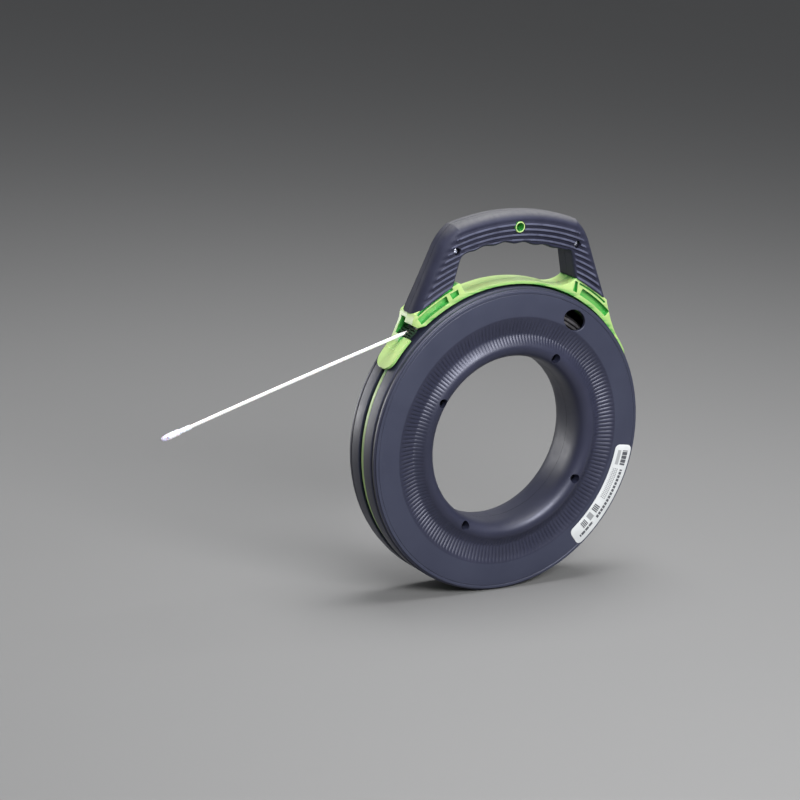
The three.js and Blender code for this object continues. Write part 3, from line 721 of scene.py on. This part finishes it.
def case_outline():
    """Section of one half of the case, as (radius, distance from the middle plane)."""
    rim = [
        (CASE_R, SLOT_HALF, 0.5), (CASE_R, 17.6, 0.5), (150.4, 18.2, 0.3), (150.4, 19.7, 0.2),
        (151.5, 20.1, 0.4), (151.5, 23.0, 0.4), (150.2, 23.4, 0.15), (149.9, FACE_Y, 0.5),
        (147.6, FACE_Y, 0.1), (147.3, FACE_Y - 0.35, 0.1), (146.8, FACE_Y - 0.35, 0.1),
        (146.5, FACE_Y, 0.1), (136.0, FACE_Y, 0), (COVE_OUTER_R + 1.2, FACE_Y, 0),
    ]
    cove_rows = [
        124, 123.6, 122.6, 121, 118, 115, 112, 109.4,
        107.6, 106.8, 105.6, 104, 102, 100.4, 99.3, 98.6,
    ]
    cove = [(r, cove_height(r), 0) for r in cove_rows]
    crest = [
        (97.4, 26.55, 0), (96.2, 27.0, 0), (95.2, 27.22, 0), (94.3, CREST_Y, 0), (92.9, CREST_Y, 0),
        (91.6, 27.0, 0), (90.2, 26.4, 0), (88.8, 25.5, 0), (87.4, 24.2, 0), (86.1, 22.4, 0),
        (85.0, 20.0, 0), (84.2, 17.0, 0), (83.7, 13.6, 0), (HUB_R, 10.0, 0), (HUB_R, SPLIT, 0),
    ]
    inside = [
        (HUB_R + HUB_WALL, SPLIT, 0), (HUB_R + HUB_WALL, 12.5, 1.5), (89.2, 20.6, 1.5), (95.5, 22.2, 1.5),
        (101.0, 17.6, 1.5), (116.0, 17.6, 1.5), (125.0, 21.8, 2), (146.4, 21.8, 1.5),
        (148.9, 17.8, 0.8), (148.9, SLOT_HALF, 0.3),
    ]
    return filleted(rim + cove + crest + inside, steps=3)


def case_half(name, side):
    """One half of the case, with round fins all the way round its cove. The grooves between
    them fade out at the cove's edges and are shallower near the crest."""
    outline = case_outline()
    radius, height = np.array(outline).T
    outside = height > COVE_LOW_Y - 1.0
    depth = RIB_DEPTH * smoothstep(124.1, 119.0, radius) * smoothstep(97.6, 100.2, radius)
    depth *= 0.4 + 0.6 * smoothstep(103.0, 112.0, radius)
    groove = np.where(outside & (radius > 96) & (radius < 125), depth, 0.0)

    def shift(column):
        turn = 2 * math.pi * column / RIB_COLUMNS
        return -side * groove * (0.5 + 0.5 * math.cos(turn)) ** 3

    return lathe(name, [(r, side * y) for r, y in outline], RIBS * RIB_COLUMNS, 28, shift)


def screw_posts(name, r, near, far):
    """A rod at each of the four case screws."""
    return [rod(name, *polar(CASE_SCREW_R, angle), r, near, far) for angle in SCREW_ANGLES]


def front_case():
    """The half with the sight port and the recesses that the screws go in through."""
    half = case_half("winder_case_front", -1)
    join(half, *screw_posts("boss", BOSS_R, -SPLIT, -BOSS_TOP))
    recess = [
        (0, 0), (SCREW_HOLE_R, 0), (SCREW_HOLE_R, -CASE_SCREW_SEAT), (4.4, -CASE_SCREW_SEAT),
        (4.7, -CREST_Y + 0.6), (5.2, -CREST_Y - 2), (0, -CREST_Y - 2),
    ]
    cutters = []
    for angle in SCREW_ANGLES:
        x, z = polar(CASE_SCREW_R, angle)
        cutters.append(turned("recess", recess, base=(x, 0, z), steps=40))
    return tidy(cut(half, *cutters, port_cutter()), 28)


def rear_case():
    """The half that the screws bite in."""
    half = case_half("winder_case_rear", 1)
    join(half, *screw_posts("boss", BOSS_R, SPLIT, BOSS_TOP))
    return tidy(cut(half, *screw_posts("pilot", SCREW_HOLE_R, -1, 16)), 28)


def port_cutter():
    """Oval window in the face, with a small chamfer round its outer edge."""
    sections = [(-20.5, 0.0), (-FACE_Y + 0.5, 0.0), (-FACE_Y - 0.1, 0.6), (-FACE_Y - 2, 0.6)]
    steps = 64
    x0, z0 = polar(PORT["r"], PORT["angle"])
    c, s = polar(1, PORT["angle"])
    points = []
    for y, grow in sections:
        for k in range(steps):
            a = 2 * math.pi * k / steps
            u = (PORT["radial"] + grow) * math.cos(a)
            v = (PORT["tangential"] + grow) * math.sin(a)
            points.append((x0 + u * c - v * s, y, z0 + u * s + v * c))
    return place("port", points, tube_faces(len(sections), steps))


def dome(r, seat, height, rim):
    """Outline of a round screw head from near its top down to its rim, which lies at a share
    of the height."""
    angles = [math.radians(15 * k) for k in range(1, 7)]
    return [(r * math.sin(a), seat + height * (rim + (1 - rim) * math.cos(a))) for a in angles]


def screw(name, x, z, seat, top, tip, head_r):
    """A pan-head screw along Y with a cross recess and a rolled thread."""
    out = 1 if top > seat else -1
    thread_r, root_r = 1.9, 1.45
    outline = [(0, top)] + dome(head_r, seat, top - seat, 0.35)
    outline += [(head_r, seat + out * 0.3), (head_r - 0.2, seat), (thread_r + 0.05, seat)]
    for k in range(int(abs(seat - tip) / THREAD_PITCH)):
        y = seat - out * (0.6 + k * THREAD_PITCH)
        outline += [(thread_r, y), (root_r, y - out * 0.45), (root_r, y - out * 0.75)]
    outline += [(1.2, tip + out * 0.4), (0, tip)]
    body = turned(name, outline, base=(x, 0, z), steps=28, smooth=50)
    reach, half = head_r * 0.56, 0.42
    low, high = (-reach, top - out * 1.5, -half), (reach, top + out, half)
    slots = [block("slot", low, high, turn) for turn in (20, 110)]
    for slot in slots:
        slot.location = CENTRE + Vector((x, 0, z)) * MM
    return tidy(cut(body, *slots), 40)


def wound_line():
    """The coil's centre line as rows of (radius, angle, y), layer on layer. The outer turns lie
    a little apart, and the last one runs up to where the tape leaves."""
    draw = random.Random(7)
    pitch = 2 * (COIL_HALF - TAPE_R) / (COIL["across"] - 1)
    steps = 90
    line = []
    for layer in range(COIL["layers"]):
        columns = list(range(COIL["across"]))[::-1 if layer % 2 else 1]
        if layer == COIL["layers"] - 1:
            columns = columns[:COIL["across"] // 2]
        for column in columns:
            lean = draw.uniform(-0.22, 0.22)
            swell = draw.uniform(-0.3, 0.3)
            for k in range(steps):
                a = 360 * k / steps
                r = COIL["first"] + COIL["layer"] * layer + swell * math.cos(math.radians(a + 40))
                y = -COIL_HALF + TAPE_R + pitch * column + lean * math.sin(math.radians(a))
                line.append((r, a, y))
    for k in range(int(steps * (1 + (90 + TAPE_DROP) / 360))):
        line.append((TAPE_LINE_R - 2 * TAPE_R - 0.1, 360 * k / steps, 0.0))
    return np.array(line)


def wound_coil():
    """The tape wound in the case: one sheathed rod through every turn."""
    rows = wound_line()
    reach = 7
    kernel = np.ones(2 * reach + 1) / (2 * reach + 1)
    for k in (0, 2):
        padded = np.pad(rows[:, k], reach, mode="edge")
        rows[:, k] = np.convolve(padded, kernel, "valid")
    a = np.radians(rows[:, 1])
    out = np.stack([np.cos(a), 0 * a, np.sin(a)], 1)
    centre = out * rows[:, :1] + np.stack([0 * a, rows[:, 2], 0 * a], 1)
    return tube("wound_tape", centre, out, Y_AXIS, TAPE_R, 8, 60)


def on_clip(name, outline, steps, smooth):
    """A body turned round the line that runs out from the axis through the clip."""
    c, s = polar(1, CLIP_ANGLE)
    return turned(name, outline, (c, 0, s), (0, CLIP_Y, 0), steps, smooth)


def anchor_clip():
    """A bent strip of spring steel that holds the tape's inner end against the hub."""
    base = HUB_R + HUB_WALL + GAP
    thick = 1.6
    path = [
        (base, -7, 0), (base + thick, -7, 0.5), (base + thick, 4.6, 0.6), (base + 5.5, 5.0, 0.6),
        (base + 5.5, 7.0, 0.5), (base, 7.0, 0.7),
    ]
    clip = relief("anchor_clip", turned_by(filleted(path, 3), CLIP_ANGLE), CLIP_Y - 5, CLIP_Y + 5)
    bore = [(0, base - 1), (1.6, base - 1), (1.6, base + 8), (0, base + 8)]
    return soften(cut(clip, on_clip("hole", bore, 32, 35)), 0.25)


def anchor_screw():
    seat = HUB_R + HUB_WALL
    outline = [(0, seat + 4.2)] + dome(2.8, seat + 2.8, 1.4, 0)
    outline += [(2.8, seat + 2.3), (1.3, seat + 2.2), (1.3, seat - 1.4), (1.0, seat - 1.6)]
    return on_clip("clip_screw", outline + [(0, seat - 1.6)], 28, 50)


def case_label():
    outline = sector(LABEL["inner"], LABEL["outer"], LABEL["start"], LABEL["stop"], LABEL["corner"], 0.5)
    back = -FACE_Y - 0.05
    return soften(relief("case_label_film", outline, back, back - LABEL["thick"]), 0.12)


belongs(front_case(), "case", CASE_POLYMER, "case_front_half")
belongs(rear_case(), "case", CASE_POLYMER, "case_rear_half")
for index, angle in enumerate(SCREW_ANGLES):
    seat = -CASE_SCREW_SEAT - GAP
    fixing = screw(f"case_cross_screw_{index + 1}", *polar(CASE_SCREW_R, angle), seat, seat - 3.0, 15, 3.9)
    belongs(fixing, "case", SCREW_STEEL, f"case_screw_{index + 1}")
belongs(wound_coil(), "case", SHADED_COIL_SHEATH, "tape_coil")
belongs(anchor_clip(), "case", CLIP_STEEL, "tape_anchor_clip")
belongs(anchor_screw(), "case", SCREW_STEEL, "anchor_screw")
belongs(case_label(), "case", LABEL_FILM, "case_label")

# ------------------------------------------------------------------ guide ring and tape


def tape_cutter(start, stop, r):
    return turned("channel", [(0, start), (r, start), (r, stop), (0, stop)], TAPE_ALONG, TAPE_TOUCH, 40)


def guide_ring():
    """The ring that the case turns on, with two lugs that the handle clamps."""
    half, web = RING_FLANGE_HALF, RING["web"]
    section = [
        (RING["inner"], -half, 0.6), (RING["flange"], -half, 0.6), (RING["flange"], -web, 0.4),
        (RING["outer"], -web, 0.6), (RING["outer"], web, 0.6), (RING["flange"], web, 0.4),
        (RING["flange"], half, 0.6), (RING["inner"], half, 0.6),
    ]
    ring = lathe("green_guide_ring", filleted(section, 3), 240)
    low, high = (RING["inner"] + 1, -1.6, -6.5), (166.5, 1.6, 6.5)
    join(ring, *[block("lug", low, high, angle) for angle in LUG_ANGLES])
    bores = [rod("bore", *polar(FOOT_SCREW_R, angle), SCREW_HOLE_R, -3, 3) for angle in LUG_ANGLES]
    return tidy(cut(ring, *bores, tape_cutter(20, 66, 3.1)))


def swept(name, stations, radii, sides):
    """A round body along the tape's line, as thick at each station as its radius."""
    line = np.array([tape_point(t) for t in stations])
    forward = np.gradient(line, axis=0)
    forward /= np.linalg.norm(forward, axis=1)[:, None]
    return tube(name, line, Y_AXIS, np.cross(forward, Y_AXIS), np.array(radii)[:, None], sides, 50)


def tape_point(t):
    """A point on the tape's line, lifted by its bow square to it in the plane of the reel."""
    up = (-TAPE_ALONG[2], 0, TAPE_ALONG[0])
    return tuple(TAPE_TOUCH[k] + TAPE_ALONG[k] * t - up[k] * bow(t) for k in range(3))


def bow(t):
    """The free end bows a little, as a coiled rod does when it is let out."""
    share = (t - TAPE_START) / (TIP_END - TAPE_START)
    return TAPE_BOW * math.sin(math.pi * min(max(share, 0), 1)) * (1 - 0.25 * share)


def tape_leader():
    stations = np.linspace(TAPE_START, TIP_START + 6, 90)
    return swept("tape_lead_rod", stations, [TAPE_R] * len(stations), 20)


def socket(start, stop, steps):
    """A cutter that fits the tape."""
    return swept("socket", np.linspace(start, stop, steps), [SOCKET_R] * steps, 24)


def ferrule():
    """A crimped sleeve with three pressed waists."""
    stop = TIP_START - 0.3
    stations = np.linspace(FERRULE_START, stop, 64)
    mouth_r = TAPE_R + 0.12
    radii = []
    for t in stations:
        run = (t - FERRULE_START) / (stop - FERRULE_START)
        waist = 0.28 * (0.5 - 0.5 * math.cos(run * 6 * math.pi))
        lead = min(1.0, (t - FERRULE_START) / 1.4) ** 0.5
        radii.append(mouth_r + (FERRULE_R - mouth_r) * lead - waist * lead)
    return cut(swept("tip_ferrule", stations, radii, 24), socket(FERRULE_START - 2, stop + 2, 24))


def tape_tip():
    """A bullet nose with an eye through it for a draw cord."""
    collar = [(0, -0.7), (0.4, -0.25), (1.2, 0), (4, 0), (4.4, -0.25), (5.0, -0.25), (5.4, 0)]
    stations = [TIP_START + t for t, _ in collar]
    radii = [TIP_R + step for _, step in collar]
    nose = 7.5
    for k in range(13):
        a = math.radians(90 * k / 12)
        stations.append(TIP_END - nose + nose * math.sin(a))
        radii.append(max(TIP_R * math.cos(a) ** 0.8, 0.02))
    body = swept("bullet_tip", stations, radii, 28)
    funnel = [(0, -5), (1.9, -4), (1.15, -2), (1.15, 2), (1.9, 4), (0, 5)]
    eye = turned("eye", funnel, base=tape_point(TIP_END - 5.2), steps=28)
    return tidy(cut(body, eye, socket(TIP_START - 2, TIP_START + 6.3, 16)), 45)


belongs(guide_ring(), "handle", FRAME_POLYMER, "guide_ring")
belongs(tape_leader(), "tape", TAPE_SHEATH, "tape_leader")
belongs(ferrule(), "tape", TIP_NYLON, "tape_ferrule")
belongs(tape_tip(), "tape", TIP_NYLON, "tape_tip")

# ------------------------------------------------------------------ handle


def frame_outline(side):
    """The saddle with its feet and tail, seen from the front. The front half stops at the
    mouth with a heel; the rear half runs on past the nozzle block in a tongue."""
    outline = arc(BAND_OUT, BAND_START, 36.5, 0.35)
    outline += bend((BAND_OUT, 37), (158.5, 42.5), (FOOT_TOP_R, 50.4), 12)
    outline += arc(FOOT_TOP_R, 50.8, 65.0)
    outline += bend((FOOT_TOP_R - 0.3, 65.5), (160.5, 67.5), (BAND_OUT, 72.5), 8)
    outline += arc(BAND_OUT, 73.5, 106.5)
    outline += bend((BAND_OUT, 107.2), (158.0, 110.9), (163.0, 111.0), 6)
    outline += bend((169.3, 111.3), (FOOT_TOP_R, 111.4), (FOOT_TOP_R, 113.0), 5)
    outline += arc(FOOT_TOP_R, 113.6, 129.8)
    if side < 0:
        outline += [polar(171.3, 130.3), polar(166.8, 133.0), polar(159.7, 132.2), polar(155.3, 129.6)]
        outline += arc(BAND_IN, 129.0, 37)
    else:
        outline += [polar(171.3, 130.3), polar(166, 132.2), polar(160.8, 136.2), polar(158.2, 138.6)]
        outline += arc(BAND_OUT, 139.6, BAND_STOP, 0.35)
        outline += arc(BAND_IN, BAND_STOP, 139.6, 0.35)
        outline += arc(BAND_IN, 138.6, 37)
    outline += arc(BAND_IN, 36.5, BAND_START, 0.35)
    return outline


def foot_pockets():
    """Recesses in the feet, as (outline, depth)."""
    left = [
        (sector(158.6, 166.4, 117.6, 130.2, 0.8), 4.8),
        (sector(168.0, 170.6, 114.6, 129.6, 0.5), 3.0),
        ([polar(159.6, 115.9), polar(160.6, 113.0), polar(166.2, 112.9), polar(166.2, 116.2)], 4.0),
    ]
    right = [
        (sector(158.8, 165.6, 46.6, 61.2, 0.8), 4.8),
        (sector(167.4, 169.2, 50.2, 63.4, 0.4), 2.6),
        ([polar(159.2, 62.6), polar(159.2, 64.6), polar(169.0, 65.4), polar(169.0, 64.2)], 4.0),
    ]
    return left + right


def round_saddle_ends(obj, side):
    """Rounds the ends of the saddle, seen from outside."""
    corner = 12.0
    mean = (BAND_IN + BAND_OUT) / 2
    for vertex in obj.data.vertices:
        x, y, z = vertex.co / MM
        angle = math.degrees(math.atan2(z, x))
        s = corner - math.radians(min(angle - BAND_START, BAND_STOP - angle)) * mean
        reach = FRAME_Y - corner + math.sqrt(max(corner**2 - s**2, 0.0))
        if s > 0 and abs(y) > reach:
            vertex.co.y = side * max(reach, 1.0) * MM


def arch_outline(inset, bottom_r):
    """Closed outline of the handle's arch, pulled in by an inset on every side."""
    outer, inner = arch_edges(inset, bottom_r, 48, ripple=False)
    return [tuple(point) for point in (*outer, *inner[::-1])]


def line_at(line, z):
    (x0, z0), (x1, z1) = line
    return x0 + (x1 - x0) * (z - z0) / (z1 - z0)


def foot_point(line, inset_x, bottom_r):
    """Where a leg's edge meets the circle round the reel that its foot follows."""
    z = bottom_r * 0.85
    for _ in range(40):
        z = math.sqrt(bottom_r**2 - (line_at(line, z) + inset_x) ** 2)
    return line_at(line, z) + inset_x, z


def under_radius(angle, ripple):
    """Radius of the underside of the bar, with hollows for the fingers."""
    if not ripple:
        return 194.5
    drift = 1.7 * math.tanh((angle - 88.0) / 7.0)
    fade = float(smoothstep(16.5, 12.5, abs(angle - 91.0)))
    finger = 6.8
    return 194.1 + drift + 0.85 * fade * math.cos(math.radians((angle - 94.4) * 360 / finger))


def resample(points, count):
    line = np.array(points, float)
    run = np.concatenate([[0], np.cumsum(np.linalg.norm(np.diff(line, axis=0), axis=1))])
    spots = np.linspace(0, run[-1], count)
    return np.stack([np.interp(spots, run, line[:, 0]), np.interp(spots, run, line[:, 1])], 1)


def mirrored(points):
    return [(-x, z) for x, z in points]


def arch_edges(inset, bottom_r, count, ripple=True):
    """The arch's outer and inner edges from the left foot to the right one. Points with the
    same number face each other across the arch."""

    def under(angle):
        return polar(under_radius(angle, ripple) + inset, angle)

    def on_leg(line, aside, z):
        return line_at(line, z) + aside, z

    top_r = GRIP_TOP_R - inset
    aside_out, aside_in = -inset * 1.08, inset * 1.02
    foot_out = foot_point(LEG_OUTER, aside_out, bottom_r)
    foot_in = foot_point(LEG_INNER, aside_in, bottom_r)
    head_out = on_leg(LEG_OUTER, aside_out, LEG_OUTER[1][1] - inset * 0.4)
    head_in = on_leg(LEG_INNER, aside_in, LEG_INNER[1][1] + inset)
    bend_out = on_leg(LEG_OUTER, aside_out, LEG_OUTER[1][1] + 14 - inset * 1.1)
    bend_in = on_leg(LEG_INNER, aside_in, LEG_INNER[1][1] + inset + 6)
    corner_out = curve_between(head_out, bend_out, polar(top_r, 72), 24)
    corner_in = curve_between(head_in, bend_in, under(73.5), 24)
    left_head, left_bend, left_foot = mirrored([head_in, bend_in, foot_in])
    left_corner = curve_between(left_head, left_bend, under(106.5), 24)
    leg, corner = int(count * 0.2), int(count * 0.1)
    bar = count - 2 * leg - 2 * corner
    outer = np.concatenate([
        resample(mirrored([foot_out, head_out]), leg + 1)[:-1],
        resample(mirrored(corner_out), corner + 1)[:-1],
        resample(arc(top_r, 108, 72, 0.2), bar),
        resample(corner_out[::-1], corner + 1)[1:],
        resample([head_out, foot_out], leg + 1)[1:],
    ])
    inner = np.concatenate([
        resample([left_foot, left_head], leg + 1)[:-1],
        resample(left_corner, corner + 1)[:-1],
        resample([under(angle) for angle in np.linspace(106.5, 73.5, 400)], bar),
        resample(corner_in[::-1], corner + 1)[1:],
        resample([head_in, foot_in], leg + 1)[1:],
    ])
    return outer, inner


def open_mouth(half):
    """Cuts the nozzle's mouth in the rear half and carries its tongue across to the front."""
    cut(half, relief("mouth", sector(150, 175, MOUTH["start"], MOUTH["stop"]), -1, MOUTH["back"]))
    tongue = relief("tongue", sector(BAND_IN, BAND_OUT, MOUTH["stop"], BAND_STOP, step=0.35), 0.3, -FRAME_Y)
    round_saddle_ends(tongue, -1)
    join(half, tongue)


def frame_holes(side):
    """Cutters for the ring's lugs, the screws, the eyelet and the tape."""
    cutters = []
    for angle in LUG_ANGLES:
        cutters.append(block("lug_slot", (150, -side, -7), (167.5, side * 1.9, 7), angle))
        x, z = polar(FOOT_SCREW_R, angle)
        if side < 0:
            cutters.append(rod("hole", x, z, SCREW_HOLE_R, 1, -8))
        else:
            far = FRAME_Y + 1
            steps = [(0, -1), (SCREW_HOLE_R, -1), (SCREW_HOLE_R, 9), (4.3, 9), (4.3, far), (0, far)]
            cutters.append(turned("hole", steps, base=(x, 0, z)))
    depth = CORE_Y + 1 if side < 0 else 7.5
    cutters += [rod("hole", x, z, SCREW_HOLE_R, -side, side * depth) for x, z in GRIP_SCREWS]
    cutters.append(rod("eye", 0, EYELET_Z, EYELET_HIGH.x + GAP, -side, side * (FRAME_Y + 1)))
    cutters.append(tape_cutter(40, 120, CHANNEL_R))
    return cutters


def frame_half(name, side):
    """One half of the green frame. The rear half has the nozzle's mouth."""
    near = side * SPLIT
    half = relief(name, frame_outline(side), near, side * FRAME_Y, foot_pockets())
    round_saddle_ends(half, side)
    core = relief("core", arch_outline(CORE_INSET, FOOT_TOP_R - 1), near, side * CORE_Y)
    keel = sector(KEEL["inner"], BAND_IN + 0.5, KEEL["start"], KEEL["stop"])
    join(half, core, relief("keel", keel, near, side * KEEL["half"]))
    if side > 0:
        open_mouth(half)
    return soften(cut(half, *frame_holes(side)), 0.55, 32)


def tape_guide():
    """Ribbed insert in the nozzle's mouth, with the tape's way through it."""
    outline = sector(155.2, 158.8, MOUTH["start"] + 1.2, MOUTH["stop"] - 0.4)
    guide = relief("nozzle_tape_guide", outline, MOUTH["back"] - GAP, -10.5)
    grooves = [block("groove", (156.6, -11, -0.7), (161, 10, 0.7), a) for a in (133.6, 134.7, 135.8)]
    return soften(cut(guide, *grooves, tape_cutter(40, 120, CHANNEL_R)), 0.25)


def grip_section(width):
    """Section of one rubber half as (run, y, on the face): how far across the arch from its
    finger side, how far from the middle plane, and whether ribs may mark it. It goes from the
    finger side over the face to the back, and home through the cavity for the frame's core."""
    inner_round, outer_round = 4.2, 11.5
    rows = []
    for k in range(4):
        rows.append((0.0, SPLIT + (GRIP_Y - inner_round - SPLIT) * k / 4, False))
    for k in range(9):
        c, s = polar(1, 90 * k / 8)
        rows.append((inner_round * (1 - c), GRIP_Y - inner_round * (1 - s), True))
    steps = 58
    for k in range(1, steps):
        rows.append((inner_round + (width - inner_round - outer_round) * k / steps, GRIP_Y, True))
    for k in range(13):
        c, s = polar(1, 90 * k / 12)
        rows.append((width - outer_round * (1 - s), GRIP_Y - outer_round * (1 - c), True))
    for k in range(1, 4):
        rows.append((width, (GRIP_Y - outer_round) * (1 - k / 3) + SPLIT * k / 3, False))
    inside, top = CORE_INSET - GAP, CORE_Y + GAP
    cavity = [(width - inside, SPLIT), (width - inside, top), (inside, top), (inside, SPLIT)]
    return rows + [(run, y, False) for run, y in cavity]


def rib_depth(radius, run, width):
    """Depth of the face's narrow ribs and wide grooves, which fade out towards its edges."""
    phase = ((radius - GRIP_RIB_R) / GRIP_RIB_PITCH) % 1.0
    groove = smoothstep(0.16, 0.32, np.minimum(phase, 1 - phase))
    sides = smoothstep(1.0, 4.0, run) * smoothstep(width - 3.5, width - 14.0, run)
    foot = smoothstep(GRIP_BOTTOM_R + 1.5, GRIP_BOTTOM_R + 3.5, radius)
    return GRIP_RIB_DEPTH * groove * sides * foot * smoothstep(222.0, 217.0, radius)


def grip_half(name, side):
    """Rubber over one half of the frame's arch, with arc ribs on its face."""
    count = 560
    points = []
    for outer, inner in zip(*arch_edges(0, GRIP_BOTTOM_R, count)):
        width = float(np.linalg.norm(outer - inner))
        run, y, on_face = np.array(grip_section(width)).T
        spots = inner + (outer - inner) / width * run[:, None]
        y = y - on_face * rib_depth(np.linalg.norm(spots, axis=1), run, width)
        points.append(np.stack([spots[:, 0], side * y, spots[:, 1]], 1))
    rows = len(points[0])
    faces = wall_faces(count, rows)
    for end in (0, count - 1):
        loop = [Vector((x + z, y, 0)) for x, y, z in points[end]]
        faces += [tuple(end * rows + k for k in triangle) for triangle in tessellate_polygon([loop])]
    half = place(name, np.concatenate(points), faces, 50)
    cutters = [rod("eye", 0, EYELET_Z, EYELET_HIGH.x + GAP, -side, side * (GRIP_Y + 1), 48)]
    if side < 0:
        deep, mouth = -CORE_Y + 2, -GRIP_Y - 1
        well = [(0, deep), (3.6, deep), (3.6, mouth + 2), (4.6, mouth), (0, mouth)]
        cutters += [turned("well", well, base=(x, 0, z), steps=36) for x, z in GRIP_SCREWS]
    return tidy(cut(half, *cutters), 50)


def eyelet():
    """The green bush through the grip that the reel hangs by."""
    outer, bore, half = EYELET_HIGH.x - 0.4, 4.2, EYELET_HIGH.y
    section = [(bore, -half, 0.5), (outer, -half, 0.7), (outer, half, 0.7), (bore, half, 0.5)]
    bush = lathe("green_hang_eyelet", filleted(section, 5), 64)
    bush.location = CENTRE + Vector((0, 0, EYELET_Z)) * MM
    return bush


belongs(frame_half("green_frame_front", -1), "handle", FRAME_POLYMER, "frame_front_half")
belongs(frame_half("green_frame_rear", 1), "handle", FRAME_POLYMER, "frame_rear_half")
belongs(grip_half("rubber_grip_front", -1), "handle", GRIP_RUBBER, "grip_front_half")
belongs(grip_half("rubber_grip_rear", 1), "handle", GRIP_RUBBER, "grip_rear_half")
belongs(eyelet(), "handle", FRAME_POLYMER, "hang_eyelet")
belongs(tape_guide(), "handle", GUIDE_POLYMER, "tape_guide")
for index, (x, z) in enumerate(GRIP_SCREWS):
    fixing = screw(f"grip_cross_screw_{index + 1}", x, z, -CORE_Y - GAP, -CORE_Y - 2.9, 6.5, 3.2)
    belongs(fixing, "handle", SCREW_STEEL, f"grip_screw_{index + 1}")
for index, angle in enumerate(LUG_ANGLES):
    fixing = screw(f"foot_cross_screw_{index + 1}", *polar(FOOT_SCREW_R, angle), 9.3, 12.1, -7, 3.8)
    belongs(fixing, "handle", SCREW_STEEL, f"foot_screw_{index + 1}")

# ------------------------------------------------------------------ stage, light and camera


def floor():
    """A wide pale sweep that the reel stands on."""
    half = 30.0
    z = CENTRE.z - CASE_R * MM
    mesh = bpy.data.meshes.new("studio_floor")
    corners = [(-half, -half, z), (half, -half, z), (half, half, z), (-half, half, z)]
    mesh.from_pydata(corners, [], [(0, 1, 2, 3)])
    obj = add_object("studio_floor", mesh)
    obj.data.materials.append(studio_floor())


def softbox(name, spot, width, height, watts, target=(0, 0, 0), diffuse=True, glossy=True, tint=(1, 1, 1)):
    """A soft rectangular light. A card without diffuse shows in reflections alone."""
    light = bpy.data.lights.new(name, "AREA")
    light.shape = "RECTANGLE"
    light.size = width
    light.size_y = height
    light.energy = watts
    light.color = tint
    obj = add_object(name, light)
    obj.visible_diffuse = diffuse
    obj.visible_glossy = glossy
    obj.location = CENTRE + Vector(spot)
    aim = Vector(target) - Vector(spot)
    obj.rotation_euler = aim.to_track_quat("-Z", "Y").to_euler()


def world(strength):
    sky = bpy.data.worlds.new("studio")
    bpy.context.scene.world = sky
    sky.use_nodes = True
    background = sky.node_tree.nodes["Background"].inputs
    background["Color"].default_value = rgb(0.85, 0.87, 0.9)
    background["Strength"].default_value = strength


def camera():
    """The reel leans 4.2 degrees to the right in its portrait, so the camera leans instead."""
    lens = bpy.data.cameras.new("portrait")
    lens.lens = 117.0
    lens.sensor_width = 36.0
    lens.clip_start, lens.clip_end = 0.05, 100
    obj = add_object("portrait", lens)
    azimuth, elevation, lean = math.radians(-30.63), math.radians(17.34), math.radians(-4.2)
    distance, aside, raised, ahead = 2.546, -0.0943, 0.0343, -0.0008
    level = math.cos(elevation)
    back = Vector((math.sin(azimuth) * level, -math.cos(azimuth) * level, math.sin(elevation)))
    right = Vector((math.cos(azimuth), math.sin(azimuth), 0))
    up = back.cross(right)
    spot = back * distance + right * aside + up * raised + Vector((0, ahead, 0))
    turn = Matrix.Rotation(lean, 4, "Y")
    pose = Matrix((right, up, back)).transposed().to_4x4()
    pose.translation = spot
    obj.matrix_world = Matrix.Translation(CENTRE) @ turn @ pose
    bpy.context.scene.camera = obj


bpy.context.scene.view_settings.view_transform = "Standard"
floor()
softbox("front_high", (-0.1, -1.5, 1.0), 1.5, 0.6, 40, glossy=False)
softbox("overhead", (0.15, 0.1, 1.65), 1.2, 1.0, 39, target=(0.15, 0.1, 0))
softbox("card_front", (-0.1, -1.3, 1.25), 1.1, 0.6, 64, diffuse=False, tint=(0.84, 0.86, 1.0))
softbox("card_left", (-0.70, 1.04, 0.08), 0.5, 0.5, 7.5, diffuse=False)
softbox("card_right", (0.9, 1.6, 0.55), 1.4, 0.5, 1.0, diffuse=False)
world(0.28)
camera()
